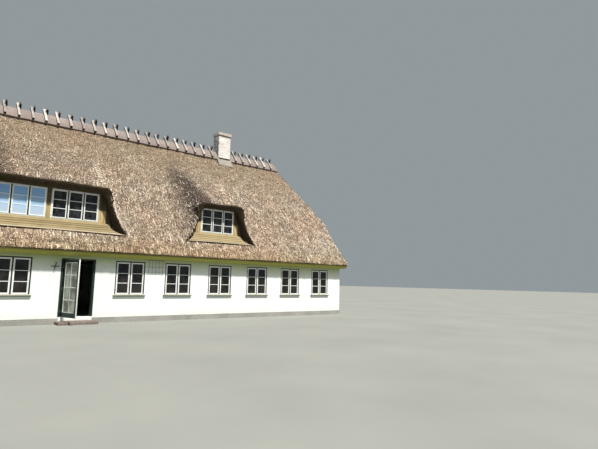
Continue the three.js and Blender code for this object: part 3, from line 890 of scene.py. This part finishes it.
def layTimber(model, foot, side):
    stretch = random.uniform(*ridge["lengths"])
    timber = copyOf(model, Matrix.Diagonal((random.uniform(*ridge["widths"]), stretch, 1, 1)))
    points = readPoints(timber)
    bow = play(ridge["bow"])
    points[:, 0] += bow * np.sin(points[:, 1] * math.pi)
    points[:, 0] += play(ridge["bend"]) * points[:, 1]
    writePoints(timber, points)
    aside = Matrix.Rotation(math.radians(side * ridge["timberLean"]), 4, "Z")
    angle = math.radians(ridge["timberAngle"] + play(ridge["anglePlay"]))
    lean = Matrix.Rotation(angle, 4, "X") @ aside
    place = Matrix.Translation((0, *ridge["timberFoot"]))
    turned = Matrix.Rotation(0 if side > 0 else math.pi, 4, "Z")
    x = foot if side > 0 else foot + ridge["sideShift"]
    timber.data.transform(Matrix.Translation((x, 0, 0)) @ turned @ place @ lean)
    setTone(timber, random.random())
    return timber


def addRidge():
    model = makeTimber()
    (pegBack, pegAhead), height = ridge["pegReach"], ridge["pegHeight"]
    for node, side in ridge["runs"].items():
        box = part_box(node)
        cap = makeRidgeCap(box[0][0], box[1][0])
        finishPiece([cap], cap.name, [node])
        first, pitch, count = ridge["feet"][side]
        parts = []
        for index in range(count):
            foot = first + index * pitch + play(ridge["footPlay"])
            parts += [layTimber(model, foot, 1), layTimber(model, foot, -1)]
            peg = addRod((foot - pegBack, 0, height), (foot + pegAhead, 0, height), ridge["pegRadius"], 8)
            parts.append(paint(peg, silverTimber))
            setTone(peg, 0.2)
        finishPiece(parts, "ridge_timbers_" + side)
    removeAll(model)


addRidge()
print("ridge caps and timbers are on")

# Dormers: upright boards beside the windows and a lapped apron below them
dormers = {
    "places": {"long_dormer": (0, 0.95), "right_dormer": (7, 0), "left_dormer": (-7, 0)},  # middle, flat half
    "boardWidth": 0.11,
    "boardGap": 0.005,
    "boardDepth": 0.02,
    "boardPlay": 0.003,
    "setBack": 0.012,
    "apronBoards": 5,
    "apronHead": (-4.095, 3.735),
    "apronRun": (-0.29, -0.42),
    "apronHalf": 1.24,
    "apronFlare": 0.58,
    "apronPower": 3.5,
    "apronBoard": 0.016,
    "apronLift": 0.008,
    "overlap": 1.08,
    "lap": 0.015,
    "lipRise": 0.02,
}


def makeDormerFront(name, middle):
    node = name + "_front"
    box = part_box(node)
    face, low, high = box[0][1], box[0][2], box[1][2]
    whole = copyOfNodes([node])
    planks = []
    pitch = dormers["boardWidth"] + dormers["boardGap"]
    count = math.ceil((box[1][0] - middle) / pitch)
    for index in range(-count, count):
        left = middle + index * pitch + dormers["boardGap"] / 2
        depth = random.uniform(0, dormers["boardPlay"])
        plank = addBlock((left, face - 0.001 + depth, low - 0.1),
                         (left + dormers["boardWidth"], face + dormers["boardDepth"], high + 0.1))
        setTone(plank, random.random())
        planks.append(plank)
    boards = joinAll(planks)
    applyModifier(boards, "BOOLEAN", operation="INTERSECT", object=whole, solver="EXACT")
    soften(boards, 0.003, 1)
    points = readPoints(whole)
    points[points[:, 1] < face + 0.001, 1] += dormers["setBack"]
    writePoints(whole, points)
    parts = [paint(boards, ochreBoard), paint(whole, ochreBoard)]
    finishPiece(parts, name + "_boards", [node])


def makeApron(name, middle, flat):
    parts = []
    count = dormers["apronBoards"]
    (headY, headZ), (runY, runZ) = dormers["apronHead"], dormers["apronRun"]
    normal = Vector((0, runZ, -runY)).normalized()
    for board in range(count):
        deselectAll()
        bpy.ops.mesh.primitive_grid_add(x_subdivisions=36, y_subdivisions=2, size=2)
        part = bpy.context.object
        points = readPoints(part)
        across, down = points[:, 0].copy(), (1 - points[:, 1]) / 2
        share = np.minimum((board + down * dormers["overlap"]) / count, 1)
        half = dormers["apronHalf"] + dormers["apronFlare"] * share ** dormers["apronPower"] + flat
        lift = dormers["apronLift"] + dormers["lap"] * down
        points[:, 0] = middle + across * half
        points[:, 1] = headY + runY * share + normal.y * lift
        points[:, 2] = headZ + runZ * share + normal.z * lift
        points[:, 2] += dormers["lipRise"] * np.cos(across * math.pi / 2) * (share > 0.9)
        writePoints(part, points)
        applyModifier(part, "SOLIDIFY", thickness=dormers["apronBoard"], offset=0)
        mergePoints(part, True)
        soften(part, 0.004, 1, 60)
        setTone(part, random.random())
        parts.append(paint(part, paleLip if board == count - 1 else ochreApron))
    finishPiece(parts, name + "_apron_boards", [name + "_apron"])


for name, (middle, flat) in dormers["places"].items():
    makeDormerFront(name, middle)
    makeApron(name, middle, flat)
print("dormer boards and aprons are on")

# Chimneys: limewashed bricks round a core, a corbelled cap and a mortar saddle
chimneys = {
    "middles": {"right": 9.385, "left": -9.385},
    "halfSize": (0.375, 0.3),
    "course": 0.0667,
    "joint": 0.011,
    "brickSize": (0.24, 0.11, 0.056),
    "brickDepth": 0.108,
    "brickPlay": 0.0025,
    "bareFrom": 8.0,
    "stackTop": 9.74,
    "capReaches": (0.016, 0.038, 0.040),
    "capStep": 0.1,
    "stackCore": (-0.008, -0.008),  # reach past the stack's half size, below and above the cap's step
    "capCore": (0.018, 0.03),
    "gap": (8.35, 8.505),  # painted shadow: a dark band over the saddle, where the stack's foot is in shade
    "gapDepth": 0.04,
    "gapProud": (0.003, 0.004),
    "saddleVoxel": 0.03,
    "saddleWave": 0.008,
}
chimneyLime = masonryMaterial("chimneyLime", (0.56, 0.52, 0.48), (0.90, 0.86, 0.83))
sideLime = masonryMaterial("sideLime", (0.20, 0.20, 0.21), (0.95, 0.94, 0.95), toneShare=0.8)
sootJoint = masonryMaterial("sootJoint", (0.012, 0.011, 0.010), (0.045, 0.040, 0.038))
capBrick = masonryMaterial("capBrick", (0.42, 0.37, 0.32), (0.72, 0.66, 0.60))
mortarFinish = masonryMaterial("mortarFinish", (0.20, 0.18, 0.155), (0.35, 0.32, 0.275))


# side faces of the chimney are painted darker as shade: patchy darker limewash on the bricks, near-black
# joints in the core
def facesAside(normal):
    return abs(normal.x) > 0.7


def brickRow(start, end, lengths):
    usable = end - start - chimneys["joint"] * (len(lengths) - 1)
    place = start
    for length in lengths:
        size = usable * length / sum(lengths)
        yield place, place + size
        place += size + chimneys["joint"]


def makeBrick():
    size = chimneys["brickSize"]
    brick = soften(addBlock(-Vector(size) / 2, Vector(size) / 2), 0.006, 1)
    brick.data.transform(Matrix.Diagonal((*(1 / side for side in size), 1)))
    return paintFaces(brick, chimneyLime, sideLime, facesAside)


def layCourse(model, middle, row, reach, odd):
    halfX, halfY = (half + reach for half in chimneys["halfSize"])
    deep, joint = chimneys["brickDepth"], chimneys["joint"]
    height, thick = chimneys["stackTop"] + row * chimneys["course"] + joint / 2, chimneys["course"] - joint
    trimX, trimY = (deep + joint, 0) if odd else (0, deep + joint)
    boxes = []
    for side in (-1, 1):
        for start, end in brickRow(-halfX + trimX, halfX - trimX, (1, 1) if odd else (1, 1, 1)):
            boxes.append(((start + end) / 2, side * (halfY - deep / 2), end - start, deep))
        for start, end in brickRow(-halfY + trimY, halfY - trimY, (2, 1, 2) if odd else (2, 1)):
            boxes.append((side * (halfX - deep / 2), (start + end) / 2, deep, end - start))
    parts = []
    for x, y, sizeX, sizeY in boxes:
        shift = play(chimneys["brickPlay"])
        place = Matrix.Translation((middle + x + shift, y + shift, height + thick / 2))
        brick = copyOf(model, place @ Matrix.Diagonal((sizeX, sizeY, thick, 1)))
        setTone(brick, random.random())
        parts.append(brick)
    return parts


def makeCore(node, middle, reaches):
    core = copyOfNodes([node])
    points = readPoints(core)
    halfX, halfY = chimneys["halfSize"]
    outside = (np.abs(points[:, 0] - middle) > halfX - 0.002) | (np.abs(points[:, 1]) > halfY - 0.002)
    reach = np.where(points[:, 2] < chimneys["stackTop"] + chimneys["capStep"], *reaches)
    for axis, centre, half in ((0, middle, halfX), (1, 0, halfY)):
        low, high = centre - half - reach, centre + half + reach
        points[outside, axis] = np.clip(points[:, axis], low, high)[outside]
    writePoints(core, points)
    return core


def addStack(side, middle, brick):
    node = side + "_chimney_stack"
    parts = []
    for row in range(int((chimneys["stackTop"] - chimneys["bareFrom"]) / chimneys["course"])):
        parts += layCourse(brick, middle, -row - 1, 0, row % 2 == 1)
    core = makeCore(node, middle, chimneys["stackCore"])
    parts.append(paintFaces(core, chimneyLime, sootJoint, facesAside))
    (halfX, halfY), (proudX, proudY) = chimneys["halfSize"], chimneys["gapProud"]
    # painted shadow at the stack's foot, front and back
    for face in (-1, 1):
        near, far = sorted((face * (halfY - chimneys["gapDepth"]), face * (halfY + proudY)))
        gap = addBlock((middle - halfX - proudX, near, chimneys["gap"][0]),
                       (middle + halfX + proudX, far, chimneys["gap"][1]))
        parts.append(paint(gap, sootJoint))
    finishPiece(parts, side + "_chimney_bricks", [node])


def addCrown(side, middle, brick):
    node = side + "_chimney_cap"
    parts = []
    for row, reach in enumerate(chimneys["capReaches"]):
        parts += layCourse(brick, middle, row, reach, row % 2 == 0)
    for part in parts:
        part.data.materials[0] = capBrick
    core = soften(makeCore(node, middle, chimneys["capCore"]), 0.012, 2)
    parts.append(paint(core, mortarFinish))
    finishPiece(parts, side + "_chimney_crown", [node])


def addSaddle(side):
    node = side + "_chimney_flashing"
    saddle = copyOfNodes([node])
    applyModifier(saddle, "REMESH", mode="VOXEL", voxel_size=chimneys["saddleVoxel"])
    applyModifier(saddle, "SMOOTH", factor=0.5, iterations=4)
    points, normals = readPoints(saddle), readPoints(saddle, "normal")
    wave = np.array([noise.noise(Vector(point) * 5) for point in points])
    writeInside(saddle, points + normals * (wave * chimneys["saddleWave"])[:, None])
    shadeSmooth(saddle)
    finishPiece([paint(saddle, mortarFinish)], side + "_chimney_saddle", [node])


brickModel = makeBrick()
for side, middle in chimneys["middles"].items():
    addStack(side, middle, brickModel)
    addCrown(side, middle, brickModel)
    addSaddle(side)
removeAll(brickModel)
print("chimneys are laid")


# Limewash of the walls, green under the eaves with algae, painted shade and painted green bounce light
lime = {
    "white": [(0.35, (0.76, 0.80, 0.77)), (0.65, (0.87, 0.91, 0.88))],
    "raggedness": 0.3,
    "algaeAndShadeHeights": (2.02, 2.6),
    "algaeAndShadeDepths": (4.3, 4.45),  # only the long walls
    "algaeAndShadeShare": 0.92,
    "algaeAndShadeColor": (0.33, 0.39, 0.125),
    "dampHeights": (0.75, 0.3),
    "dampAndShadeStrokes": (0.3, 0.7),
    "dampAndShadeShare": 0.5,
    "dampAndShadeColor": (0.45, 0.47, 0.38),
}


def limewashMaterial():
    material, tree = startMaterial("limewash", 0.9, 0.15)
    place = objectPlace(tree)
    height, deep = partsOf(tree, rawPlace(tree))[2], partsOf(tree, place)[1]
    brush = noiseAt(tree, objectPlace(tree, (1, 1, 2.2)), 5, 6, 0.6)
    grain, patches = noiseAt(tree, place, 60, 3, 0.6), noiseAt(tree, place, 0.7, 4, 0.6)
    mixed = weigh(tree, (brush, 0.5), (patches, 0.5))
    white = rampOf(tree, mixed, lime["white"])
    ragged = calculate(tree, "ADD", height, times(tree, patches, lime["raggedness"]))
    longWalls = spread(tree, calculate(tree, "ABSOLUTE", deep), *lime["algaeAndShadeDepths"])
    # green under the eaves: algae, with painted shade and painted green light bounced from the ground
    algaeAndShade = times(tree, spread(tree, ragged, *lime["algaeAndShadeHeights"]), longWalls)
    # the greenish streaks near the ground are a real damp stain
    dampAndShade = times(tree, spread(tree, ragged, *lime["dampHeights"]), spread(tree, brush, *lime["dampAndShadeStrokes"]))
    color = blend(tree, times(tree, algaeAndShade, lime["algaeAndShadeShare"]), white, lime["algaeAndShadeColor"])
    color = blend(tree, times(tree, dampAndShade, lime["dampAndShadeShare"]), color, lime["dampAndShadeColor"])
    return endMaterial(material, color, calculate(tree, "ADD", brush, times(tree, grain, 0.2)), 0.02, 0.5)


# Paint, iron and glass of the joinery
def paintMaterial(name, dark, light, roughness):
    material, tree = startMaterial(name, roughness, 0.4)
    wear = noiseAt(tree, objectPlace(tree), 9, 5, 0.65)
    brush = noiseAt(tree, objectPlace(tree), 60, 2, 0.5)
    return endMaterial(material, rampOf(tree, wear, [(0.35, dark), (0.65, light)]), brush, 0.0008, 0.6)


# painted reflection of the sky: blue at the top, paler lower down, with clouds
def skyReflectionGlassMaterial():
    material, tree = startMaterial("skyGlass", 0.06, 0.6)
    height = partsOf(tree, objectPlace(tree))[2]
    clouds = noiseAt(tree, objectPlace(tree, (1, 1, 1.6)), 2.4, 3)
    mixed = calculate(tree, "ADD", spread(tree, height, 3.8, 4.8), times(tree, clouds, 0.5))
    tones = [(0.25, (0.46, 0.52, 0.58)), (0.6, (0.38, 0.55, 0.74)), (1.0, (0.23, 0.44, 0.76))]
    return endMaterial(material, rampOf(tree, mixed, tones), clouds, 0.004, 0.25)


def glassMaterial(name, dark, light, specular, scale):
    material, tree = startMaterial(name, 0.06, specular)
    depth = noiseAt(tree, objectPlace(tree, (1, 1, 0.7)), scale, 2)
    ripple = noiseAt(tree, objectPlace(tree), 3.0, 1)
    return endMaterial(material, rampOf(tree, depth, [(0.35, dark), (0.65, light)]), ripple, 0.004, 0.25)


limewash = limewashMaterial()
greenPaint = paintMaterial("greenPaint", (0.008, 0.021, 0.016), (0.015, 0.034, 0.026), 0.6)
whitePaint = paintMaterial("whitePaint", (0.74, 0.76, 0.73), (0.86, 0.87, 0.85), 0.4)
creamPaint = paintMaterial("creamPaint", (0.66, 0.68, 0.62), (0.80, 0.80, 0.76), 0.4)
ironFinish = paintMaterial("ironFinish", (0.05, 0.05, 0.05), (0.10, 0.10, 0.10), 0.45)
sillStone = masonryMaterial("sillStone", (0.085, 0.095, 0.065), (0.18, 0.19, 0.135), 0.003, 30)
sillTop = masonryMaterial("sillTop", (0.36, 0.35, 0.30), (0.66, 0.64, 0.58), 0.003, 30)
# painted: the dark, unlit room seen through the glass, with faint lighter streaks as painted reflections
roomGlass = glassMaterial("roomGlass", (0.004, 0.004, 0.004), (0.024, 0.021, 0.020), 0.4, 3.0)
skyGlass = skyReflectionGlassMaterial()
# painted reflection of dark trees in the dormer glass
treeGlass = glassMaterial("treeGlass", (0.003, 0.003, 0.003), (0.030, 0.034, 0.036), 0.35, 6.0)
doorGlass = glassMaterial("doorGlass", (0.035, 0.045, 0.033), (0.46, 0.50, 0.40), 0.5, 2.6)

# Windows: casements in a frame, with glass, hinges, a catch and a sill
windows = {
    "stileDepth": 0.045,
    "bar": 0.022,
    "barDepth": 0.022,
    "panes": 3,
    "glass": 0.006,
    "glassLap": 0.004,
    "barLap": 0.002,
    "proud": 0.006,
    "gap": 0.003,
    "play": 0.002,
    "bevel": 0.004,
    "hingeShares": (0.13, 0.87),
    "hingeHalf": 0.035,
    "hingeRadius": 0.007,
    "strap": (0.002, 0.004, 0.012),  # behind and ahead of the face, half height
    "strapShare": 0.8,
    "catch": (0.006, 0.014, 0.06),  # half width, depth, half height
    "postInset": (0.012, 0.01, 0.004),
    "wallFace": (14.47, 4.5),
    "recess": 0.02,
    "sillHeight": 0.1,
    "sillThick": 0.075,
    "sillRise": 0.038,
    "sillReach": 0.055,
    "sillEar": 0.045,
    "sillFall": 0.012,
    "sillBack": 0.0205,
    "bedBack": 0.022,
}


def makeRing(low, high, width, bevel):
    ring = addBlock(low, high)
    openEdit(ring)
    mesh = bmesh.from_edit_mesh(ring.data)
    for face in mesh.faces:
        face.select_set(abs(face.normal.y) > 0.9)
    bmesh.update_edit_mesh(ring.data)
    bpy.ops.mesh.inset(thickness=width, depth=0, use_individual=True)
    bpy.ops.mesh.bridge_edge_loops()
    closeEdit()
    return soften(ring, bevel)


def addPart(parts, low, high, material, bevel=0.004, segments=2):
    part = soften(addBlock(low, high), bevel, segments)
    parts.append(paint(part, material))
    return part


def addSoftRod(parts, start, end, radius, sides, material, bevel=0.002, segments=1):
    rod = soften(addRod(start, end, radius, sides), bevel, segments)
    parts.append(paint(rod, material))


def makeCasement(left, right, low, high, look, hingeSide):
    stile, bar, lap = look["stile"], windows["bar"], windows["glassLap"]
    front, back = -windows["proud"], windows["stileDepth"] - windows["proud"]
    middle = (front + back) / 2
    parts = [paint(makeRing((left, front, low), (right, back, high), stile, windows["bevel"]), whitePaint)]
    paneHeight = (high - low - 2 * stile) / windows["panes"]
    barLeft, barRight = left + stile - windows["barLap"], right - stile + windows["barLap"]
    for row in range(1, windows["panes"]):
        place = low + stile + row * paneHeight
        addPart(parts, (barLeft, middle - windows["barDepth"] / 2, place - bar / 2),
                (barRight, middle + windows["barDepth"] / 2, place + bar / 2), whitePaint)
    half = windows["glass"] / 2
    glass = addBlock((left + stile - lap, middle - half, low + stile - lap),
                     (right - stile + lap, middle + half, high - stile + lap))
    parts.append(paint(glass, look["glass"]))
    edge = left if hingeSide < 0 else right
    inner = edge - hingeSide * stile * windows["strapShare"]
    behind, ahead, strapHalf = windows["strap"]
    for share in windows["hingeShares"]:
        height, y = low + (high - low) * share, front - 0.004
        addSoftRod(parts, (edge, y, height - windows["hingeHalf"]), (edge, y, height + windows["hingeHalf"]),
                   windows["hingeRadius"], 10, look["frame"])
        addPart(parts, (min(edge, inner), front - behind, height - strapHalf),
                (max(edge, inner), front + ahead, height + strapHalf), whitePaint, 0.001, 1)
    grip, centre = (right if hingeSide < 0 else left) + hingeSide * stile / 2, (low + high) / 2
    catchHalf, catchDepth, catchReach = windows["catch"]
    addPart(parts, (grip - catchHalf, back - 0.002, centre - catchReach),
            (grip + catchHalf, back + catchDepth, centre + catchReach), ironFinish)
    return parts


def makeSill(width):
    half, reach = width / 2, windows["recess"] + windows["sillReach"]
    foot, top = windows["sillHeight"], windows["sillHeight"] + windows["sillRise"]
    wide = half + windows["sillEar"]
    ears = addBlock((-wide, -reach, top - windows["sillThick"]), (wide, -windows["sillBack"], top))
    bed = addBlock((-half, -windows["bedBack"], foot - 0.004), (half, 0.0035, top - 0.002))
    inner = addBlock((-half, -windows["bedBack"], 0.002), (half, 0.055, foot))
    openEdit(ears, "EDGE")
    pickEdges(ears, lambda first, second: ((first + second) / 2).z > top - 0.01
              and ((first + second) / 2).y < -reach + 0.001)
    bpy.ops.transform.translate(value=(0, 0, -windows["sillFall"]))
    closeEdit()
    soften(ears, 0.010, 2)
    # the sill's top is pale limewash; its front and underside are darker: algae with painted shade
    paintFaces(ears, sillStone, sillTop, lambda normal: normal.z > 0.3)
    return [ears, paint(bed, sillTop), paint(inner, limewash)]


def makeWindow(width, height, look):
    half = width / 2 - windows["play"]
    low, top = (windows["sillHeight"] if look["sill"] else windows["play"]), height - windows["play"]
    side, post = look["frameWidth"], look["postWidth"]
    ring = makeRing((-half, 0.004, low), (half, look["depth"], top), side, windows["bevel"])
    parts = [paint(ring, look["frame"])]
    count, gap = look["casements"], windows["gap"]
    clear = (2 * half - 2 * side - (count - 1) * post) / count
    postFront, postBack, postLap = windows["postInset"]
    for index in range(count):
        left = -half + side + index * (clear + post)
        hingeSide = 1 if index == count - 1 else -1
        parts += makeCasement(left + gap, left + clear - gap, low + side + gap, top - side - gap,
                              look, hingeSide)
        if index:
            addPart(parts, (left - post, postFront, low + side - postLap),
                    (left, look["depth"] - postBack, top - side + postLap), look["post"])
    if look["sill"]:
        parts += makeSill(width)
    return joinAll(parts)


def placeWindows(template, nodes, turn):
    for node in nodes:
        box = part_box(node)
        x, y = (box[0][0] + box[1][0]) / 2, (box[0][1] + box[1][1]) / 2
        if "dormer" in node:
            y = box[0][1]
        elif turn in (0, 180):
            y = math.copysign(windows["wallFace"][1] - windows["recess"], y)
        else:
            x = math.copysign(windows["wallFace"][0] - windows["recess"], x)
        place = Matrix.Translation((x, y, box[0][2])) @ Matrix.Rotation(math.radians(turn), 4, "Z")
        slot = "dormer_window" if "dormer" in node else "window_frame"
        finishPiece([copyOf(template, place)], node + "_joinery", [node])


def addWindows():
    wall = {"frame": greenPaint, "post": greenPaint, "glass": roomGlass, "frameWidth": 0.042,
            "postWidth": 0.042, "stile": 0.050, "depth": 0.09, "casements": 2, "sill": True}
    dormer = {"frame": whitePaint, "post": greenPaint, "glass": skyGlass, "frameWidth": 0.028,
              "postWidth": 0.04, "stile": 0.038, "depth": 0.075, "casements": 3, "sill": False}
    ground, upper = makeWindow(1.16, 1.42, wall), makeWindow(1.16, 1.10, wall)
    bright, dim = makeWindow(1.68, 1.11, dormer), makeWindow(1.68, 1.11, {**dormer, "glass": treeGlass})
    placeWindows(ground, ["front_window_%d" % number for number in range(1, 14)], 0)
    placeWindows(ground, ["back_window_%d" % number for number in range(1, 7)], 180)
    for template, storey in ((ground, "ground"), (upper, "upper")):
        for side, turn in (("right", 90), ("left", -90)):
            placeWindows(template, ["%s_gable_%s_window" % (side, storey)], turn)
    placeWindows(bright, ["long_dormer_window_1", "left_dormer_window_1"], 0)
    placeWindows(dim, ["long_dormer_window_2", "right_dormer_window_1"], 0)
    removeAll(ground, upper, bright, dim)


addWindows()
print("windows are in")

# Door: a frame in the wall, and a glazed leaf that is drawn shut and swung open
door = {
    "left": 0.5,
    "right": 1.68,
    "top": 2.33,
    "floor": 0.2003,
    "front": -4.5,
    "frameWidth": 0.08,
    "headWidth": 0.05,
    "frameDepth": 0.12,
    "threshold": 0.04,
    "thresholdReach": 0.028,
    "apronLow": 0.102,
    "stopWidth": 0.014,
    "stopPlay": 0.006,
    "leafLow": (0.59, 0.25),
    "leafHigh": (1.59, 2.275),
    "leafThickness": 0.045,
    "stile": 0.105,
    "bottomRail": 0.17,
    "tenon": 0.003,
    "bar": 0.03,
    "moulding": 0.018,
    "glassHalf": 0.003,
    "hinge": (0.584, -4.512),
    "hingeHeights": (0.45, 1.24, 2.03),
    "hingeHalf": 0.06,
    "hingePlay": 0.0003,
    "hingeRadius": 0.01,
    "plate": (0.004, 0.034, 0.044),  # gap at the pin, width on the frame and on the leaf
    "openAngle": -76,
    "handleX": 1.535,
    "handleHeight": 1.25,
    "handlePlate": (0.02, 0.11, 0.07, 0.006),  # half width, reach down and up, thickness
    "handleReach": 0.045,
    "leverReach": 0.11,
    "leverRadius": 0.009,
}


def addHinges(parts, low, high, plateStart, plateEnd):
    x, y = door["hinge"]
    for height in door["hingeHeights"]:
        addSoftRod(parts, (x, y, height + low), (x, y, height + high), door["hingeRadius"], 16, ironFinish)
        addPart(parts, (x + plateStart, y - 0.003, height + low),
                (x + plateEnd, door["front"] + 0.002, height + high), ironFinish, 0.001, 1)


def addDoorFrame():
    left, right, top, front = door["left"], door["right"], door["top"], door["front"]
    wide, back, floor = door["frameWidth"], door["front"] + door["frameDepth"], door["floor"]
    head, lap = floor + door["threshold"], door["tenon"]
    parts = []
    addPart(parts, (left + 0.001, front, head), (left + wide, back, top - 0.001), greenPaint)
    addPart(parts, (right - wide, front, head), (right - 0.001, back, top - 0.001), greenPaint)
    addPart(parts, (left + wide - lap, front + 0.001, top - door["headWidth"]),
            (right - wide + lap, back, top - 0.002), greenPaint)
    addPart(parts, (left + 0.001, front - door["thresholdReach"], floor), (right - 0.001, back, head + 0.001),
            whitePaint, 0.008)
    addPart(parts, (left + 0.02, front - 0.029, door["apronLow"]),
            (right - 0.02, front - 0.0205, floor + 0.001), whitePaint, 0.003)
    inner, stop = front + door["leafThickness"] + door["stopPlay"], door["stopWidth"]
    for start, end in ((left + wide - 0.002, left + wide + stop),
                       (right - wide - stop, right - wide + 0.002)):
        addPart(parts, (start, inner, head), (end, back - 0.004, top - wide), greenPaint, 0.002)
    gap, onFrame, _ = door["plate"]
    addHinges(parts, -door["hingeHalf"], 0, -onFrame, -gap)
    finishPiece(parts, "door_surround", ["door_frame"])


def addHandle(parts, face, out):
    grip, height = door["handleX"], door["handleHeight"]
    half, down, up, thick = door["handlePlate"]
    reach, radius = face + out * door["handleReach"], door["leverRadius"]
    addPart(parts, (grip - half, min(face, face + out * thick), height - down),
            (grip + half, max(face, face + out * thick), height + up), ironFinish, 0.002)
    parts.append(paint(addRod((grip, face, height), (grip, reach, height), radius, 14), ironFinish))
    addSoftRod(parts, (grip + 0.008, reach, height), (grip - door["leverReach"], reach, height - 0.004),
               radius, 14, ironFinish, 0.004, 2)


def addDoorLeaf():
    front, thick = door["front"], door["leafThickness"]
    back, middle = front + thick, front + thick / 2
    (left, bottom), (right, top) = door["leafLow"], door["leafHigh"]
    stile, rail, bar, lap = door["stile"], door["bottomRail"], door["bar"], door["tenon"]
    parts = []
    for start, end in ((left, left + stile), (right - stile, right)):
        addPart(parts, (start, front, bottom), (end, back, top), creamPaint)
    for low, high in ((top - stile, top), (bottom, bottom + rail)):
        addPart(parts, (left + stile - lap, front + 0.0005, low),
                (right - stile + lap, back - 0.0005, high), creamPaint)
    for part in parts:
        paintFaces(part, creamPaint, greenPaint, lambda normal: normal.y < -0.6)
    inLeft, inRight, inLow, inHigh = left + stile, right - stile, bottom + rail, top - stile
    moulding = makeRing((inLeft - 0.002, front + 0.004, inLow - 0.002),
                        (inRight + 0.002, back - 0.004, inHigh + 0.002), door["moulding"], 0.003)
    parts.append(paint(moulding, creamPaint))
    centre = (inLeft + inRight) / 2
    addPart(parts, (centre - bar / 2, front + 0.007, inLow),
            (centre + bar / 2, back - 0.007, inHigh), creamPaint)
    for row in (1, 2, 3):
        height = inLow + (inHigh - inLow) * row / 4
        addPart(parts, (inLeft, front + 0.008, height - bar / 2),
                (inRight, back - 0.008, height + bar / 2), creamPaint)
    glass = addBlock((inLeft, middle - door["glassHalf"], inLow),
                     (inRight, middle + door["glassHalf"], inHigh))
    parts.append(paint(glass, doorGlass))
    gap, _, onLeaf = door["plate"]
    addHinges(parts, door["hingePlay"], door["hingeHalf"], gap, onLeaf)
    addHandle(parts, front, -1)
    addHandle(parts, back, 1)
    hinge = Vector((*door["hinge"], 0))
    turn = Matrix.Rotation(math.radians(door["openAngle"]), 4, "Z")
    leaf = joinAll(parts)
    leaf.data.transform(Matrix.Translation(hinge) @ turn @ Matrix.Translation(-hinge))
    finishPiece([leaf], "door_panel", ["door_leaf"], "door_leaf")


addDoorFrame()
addDoorLeaf()
print("the door is hung")

# Small fixtures on the front wall: a wire trellis and a wall tie
fixtures = {
    "trellisX": (3.71, 3.85, 4.0, 4.14, 4.29),
    "trellisZ": (1.92, 2.125, 2.405),
    "trellisTop": 2.47,
    "trellisFoot": 0.06,
    "trellisEnd": 0.05,
    "wire": 0.0055,
    "wireStep": 0.009,
    "standOff": 0.035,
    "tieMiddle": (0.30, 2.03),
    "tieHalf": 0.14,
    "tieLean": 0.03,
    "tieRadius": 0.015,
    "tieDepths": (0.02, 0.034, 0.045),  # flat bar, leaning bar, end of the anchor
}


def addFixtures():
    wallY, across, levels = door["front"], fixtures["trellisX"], fixtures["trellisZ"]
    y, back, past = wallY - fixtures["standOff"], wallY + 0.004, fixtures["trellisEnd"]
    low, top = levels[0] - fixtures["trellisFoot"], fixtures["trellisTop"]
    step = y - fixtures["wireStep"]
    rods = [((x, y, low), (x, y, top)) for x in across]
    rods += [((across[0] - past, step, z), (across[-1] + past, step, z)) for z in levels]
    for x in (across[0], across[-1]):
        rods += [((x, y, z + past), (x, back, z + past)) for z in (levels[0], levels[-1])]
    wires = []
    for start, end in rods:
        addSoftRod(wires, start, end, fixtures["wire"], 10, ironFinish, 0.001, 1)
    finishPiece(wires, "wall_trellis")
    x, z = fixtures["tieMiddle"]
    half, lean, radius = fixtures["tieHalf"], fixtures["tieLean"], fixtures["tieRadius"]
    flat, leaning, anchor = (wallY - depth for depth in fixtures["tieDepths"])
    bars = []
    for start, end, thick in (((x - half, flat, z), (x + half, flat, z), radius),
                              ((x + lean, leaning, z + half), (x - lean, leaning, z - half), radius),
                              ((x, anchor, z), (x, wallY + 0.01, z), radius * 1.3)):
        addSoftRod(bars, start, end, thick, 12, ironFinish, 0.003, 2)
    finishPiece(bars, "wall_tie")


addFixtures()
print("fixtures are on the wall")

# Step of bricks on edge
step = {"rows": 2, "brick": 0.056, "joint": 0.010, "inset": 0.006, "sink": 0.004, "bedSink": 0.008}
stepBrick = masonryMaterial("stepBrick", (0.10, 0.075, 0.065), (0.26, 0.20, 0.17), 0.003, 40)


def addStep():
    (x0, y0, z0), (x1, y1, z1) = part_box("door_step")
    joint, inset = step["joint"], step["inset"]
    count = round((x1 - x0) / (step["brick"] + joint))
    pitch = (x1 - x0 + joint) / count
    deep = (y1 - y0 + joint) / step["rows"]
    parts = []
    for row in range(step["rows"]):
        for index in range(count):
            left, front = x0 + index * pitch, y0 + row * deep
            sunk = random.uniform(0, step["sink"])
            brick = addPart(parts, (left, front, z0), (left + pitch - joint, front + deep - joint, z1 - sunk),
                            stepBrick, 0.006, 2)
            setTone(brick, random.random())
    bed = addBlock((x0 + inset, y0 + inset, z0), (x1 - inset, y1 - 0.001, z1 - step["bedSink"]))
    parts.append(paint(bed, mortarFinish))
    finishPiece(parts, "brick_step", ["door_step"])


addStep()
print("the step is laid")

# Finishes of the walls, the plinth and the upper floor, which keep their own solids
shell = {
    "walls": ["front_wall_left", "front_wall_right", "front_wall_over_door", "back_wall",
              "right_gable_wall", "left_gable_wall"],
}
plinthStone = masonryMaterial("plinthStone", (0.22, 0.22, 0.20), (0.42, 0.41, 0.38), 0.006, 22)
floorBoards = woodMaterial("floorBoards", (0.20, 0.13, 0.07), (0.42, 0.30, 0.18), "X")
for node in shell["walls"]:
    paint(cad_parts[node], limewash)
paint(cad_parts["plinth_and_floor"], plinthStone)
paint(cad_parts["upper_floor"], floorBoards)
print("walls, plinth and upper floor are painted")
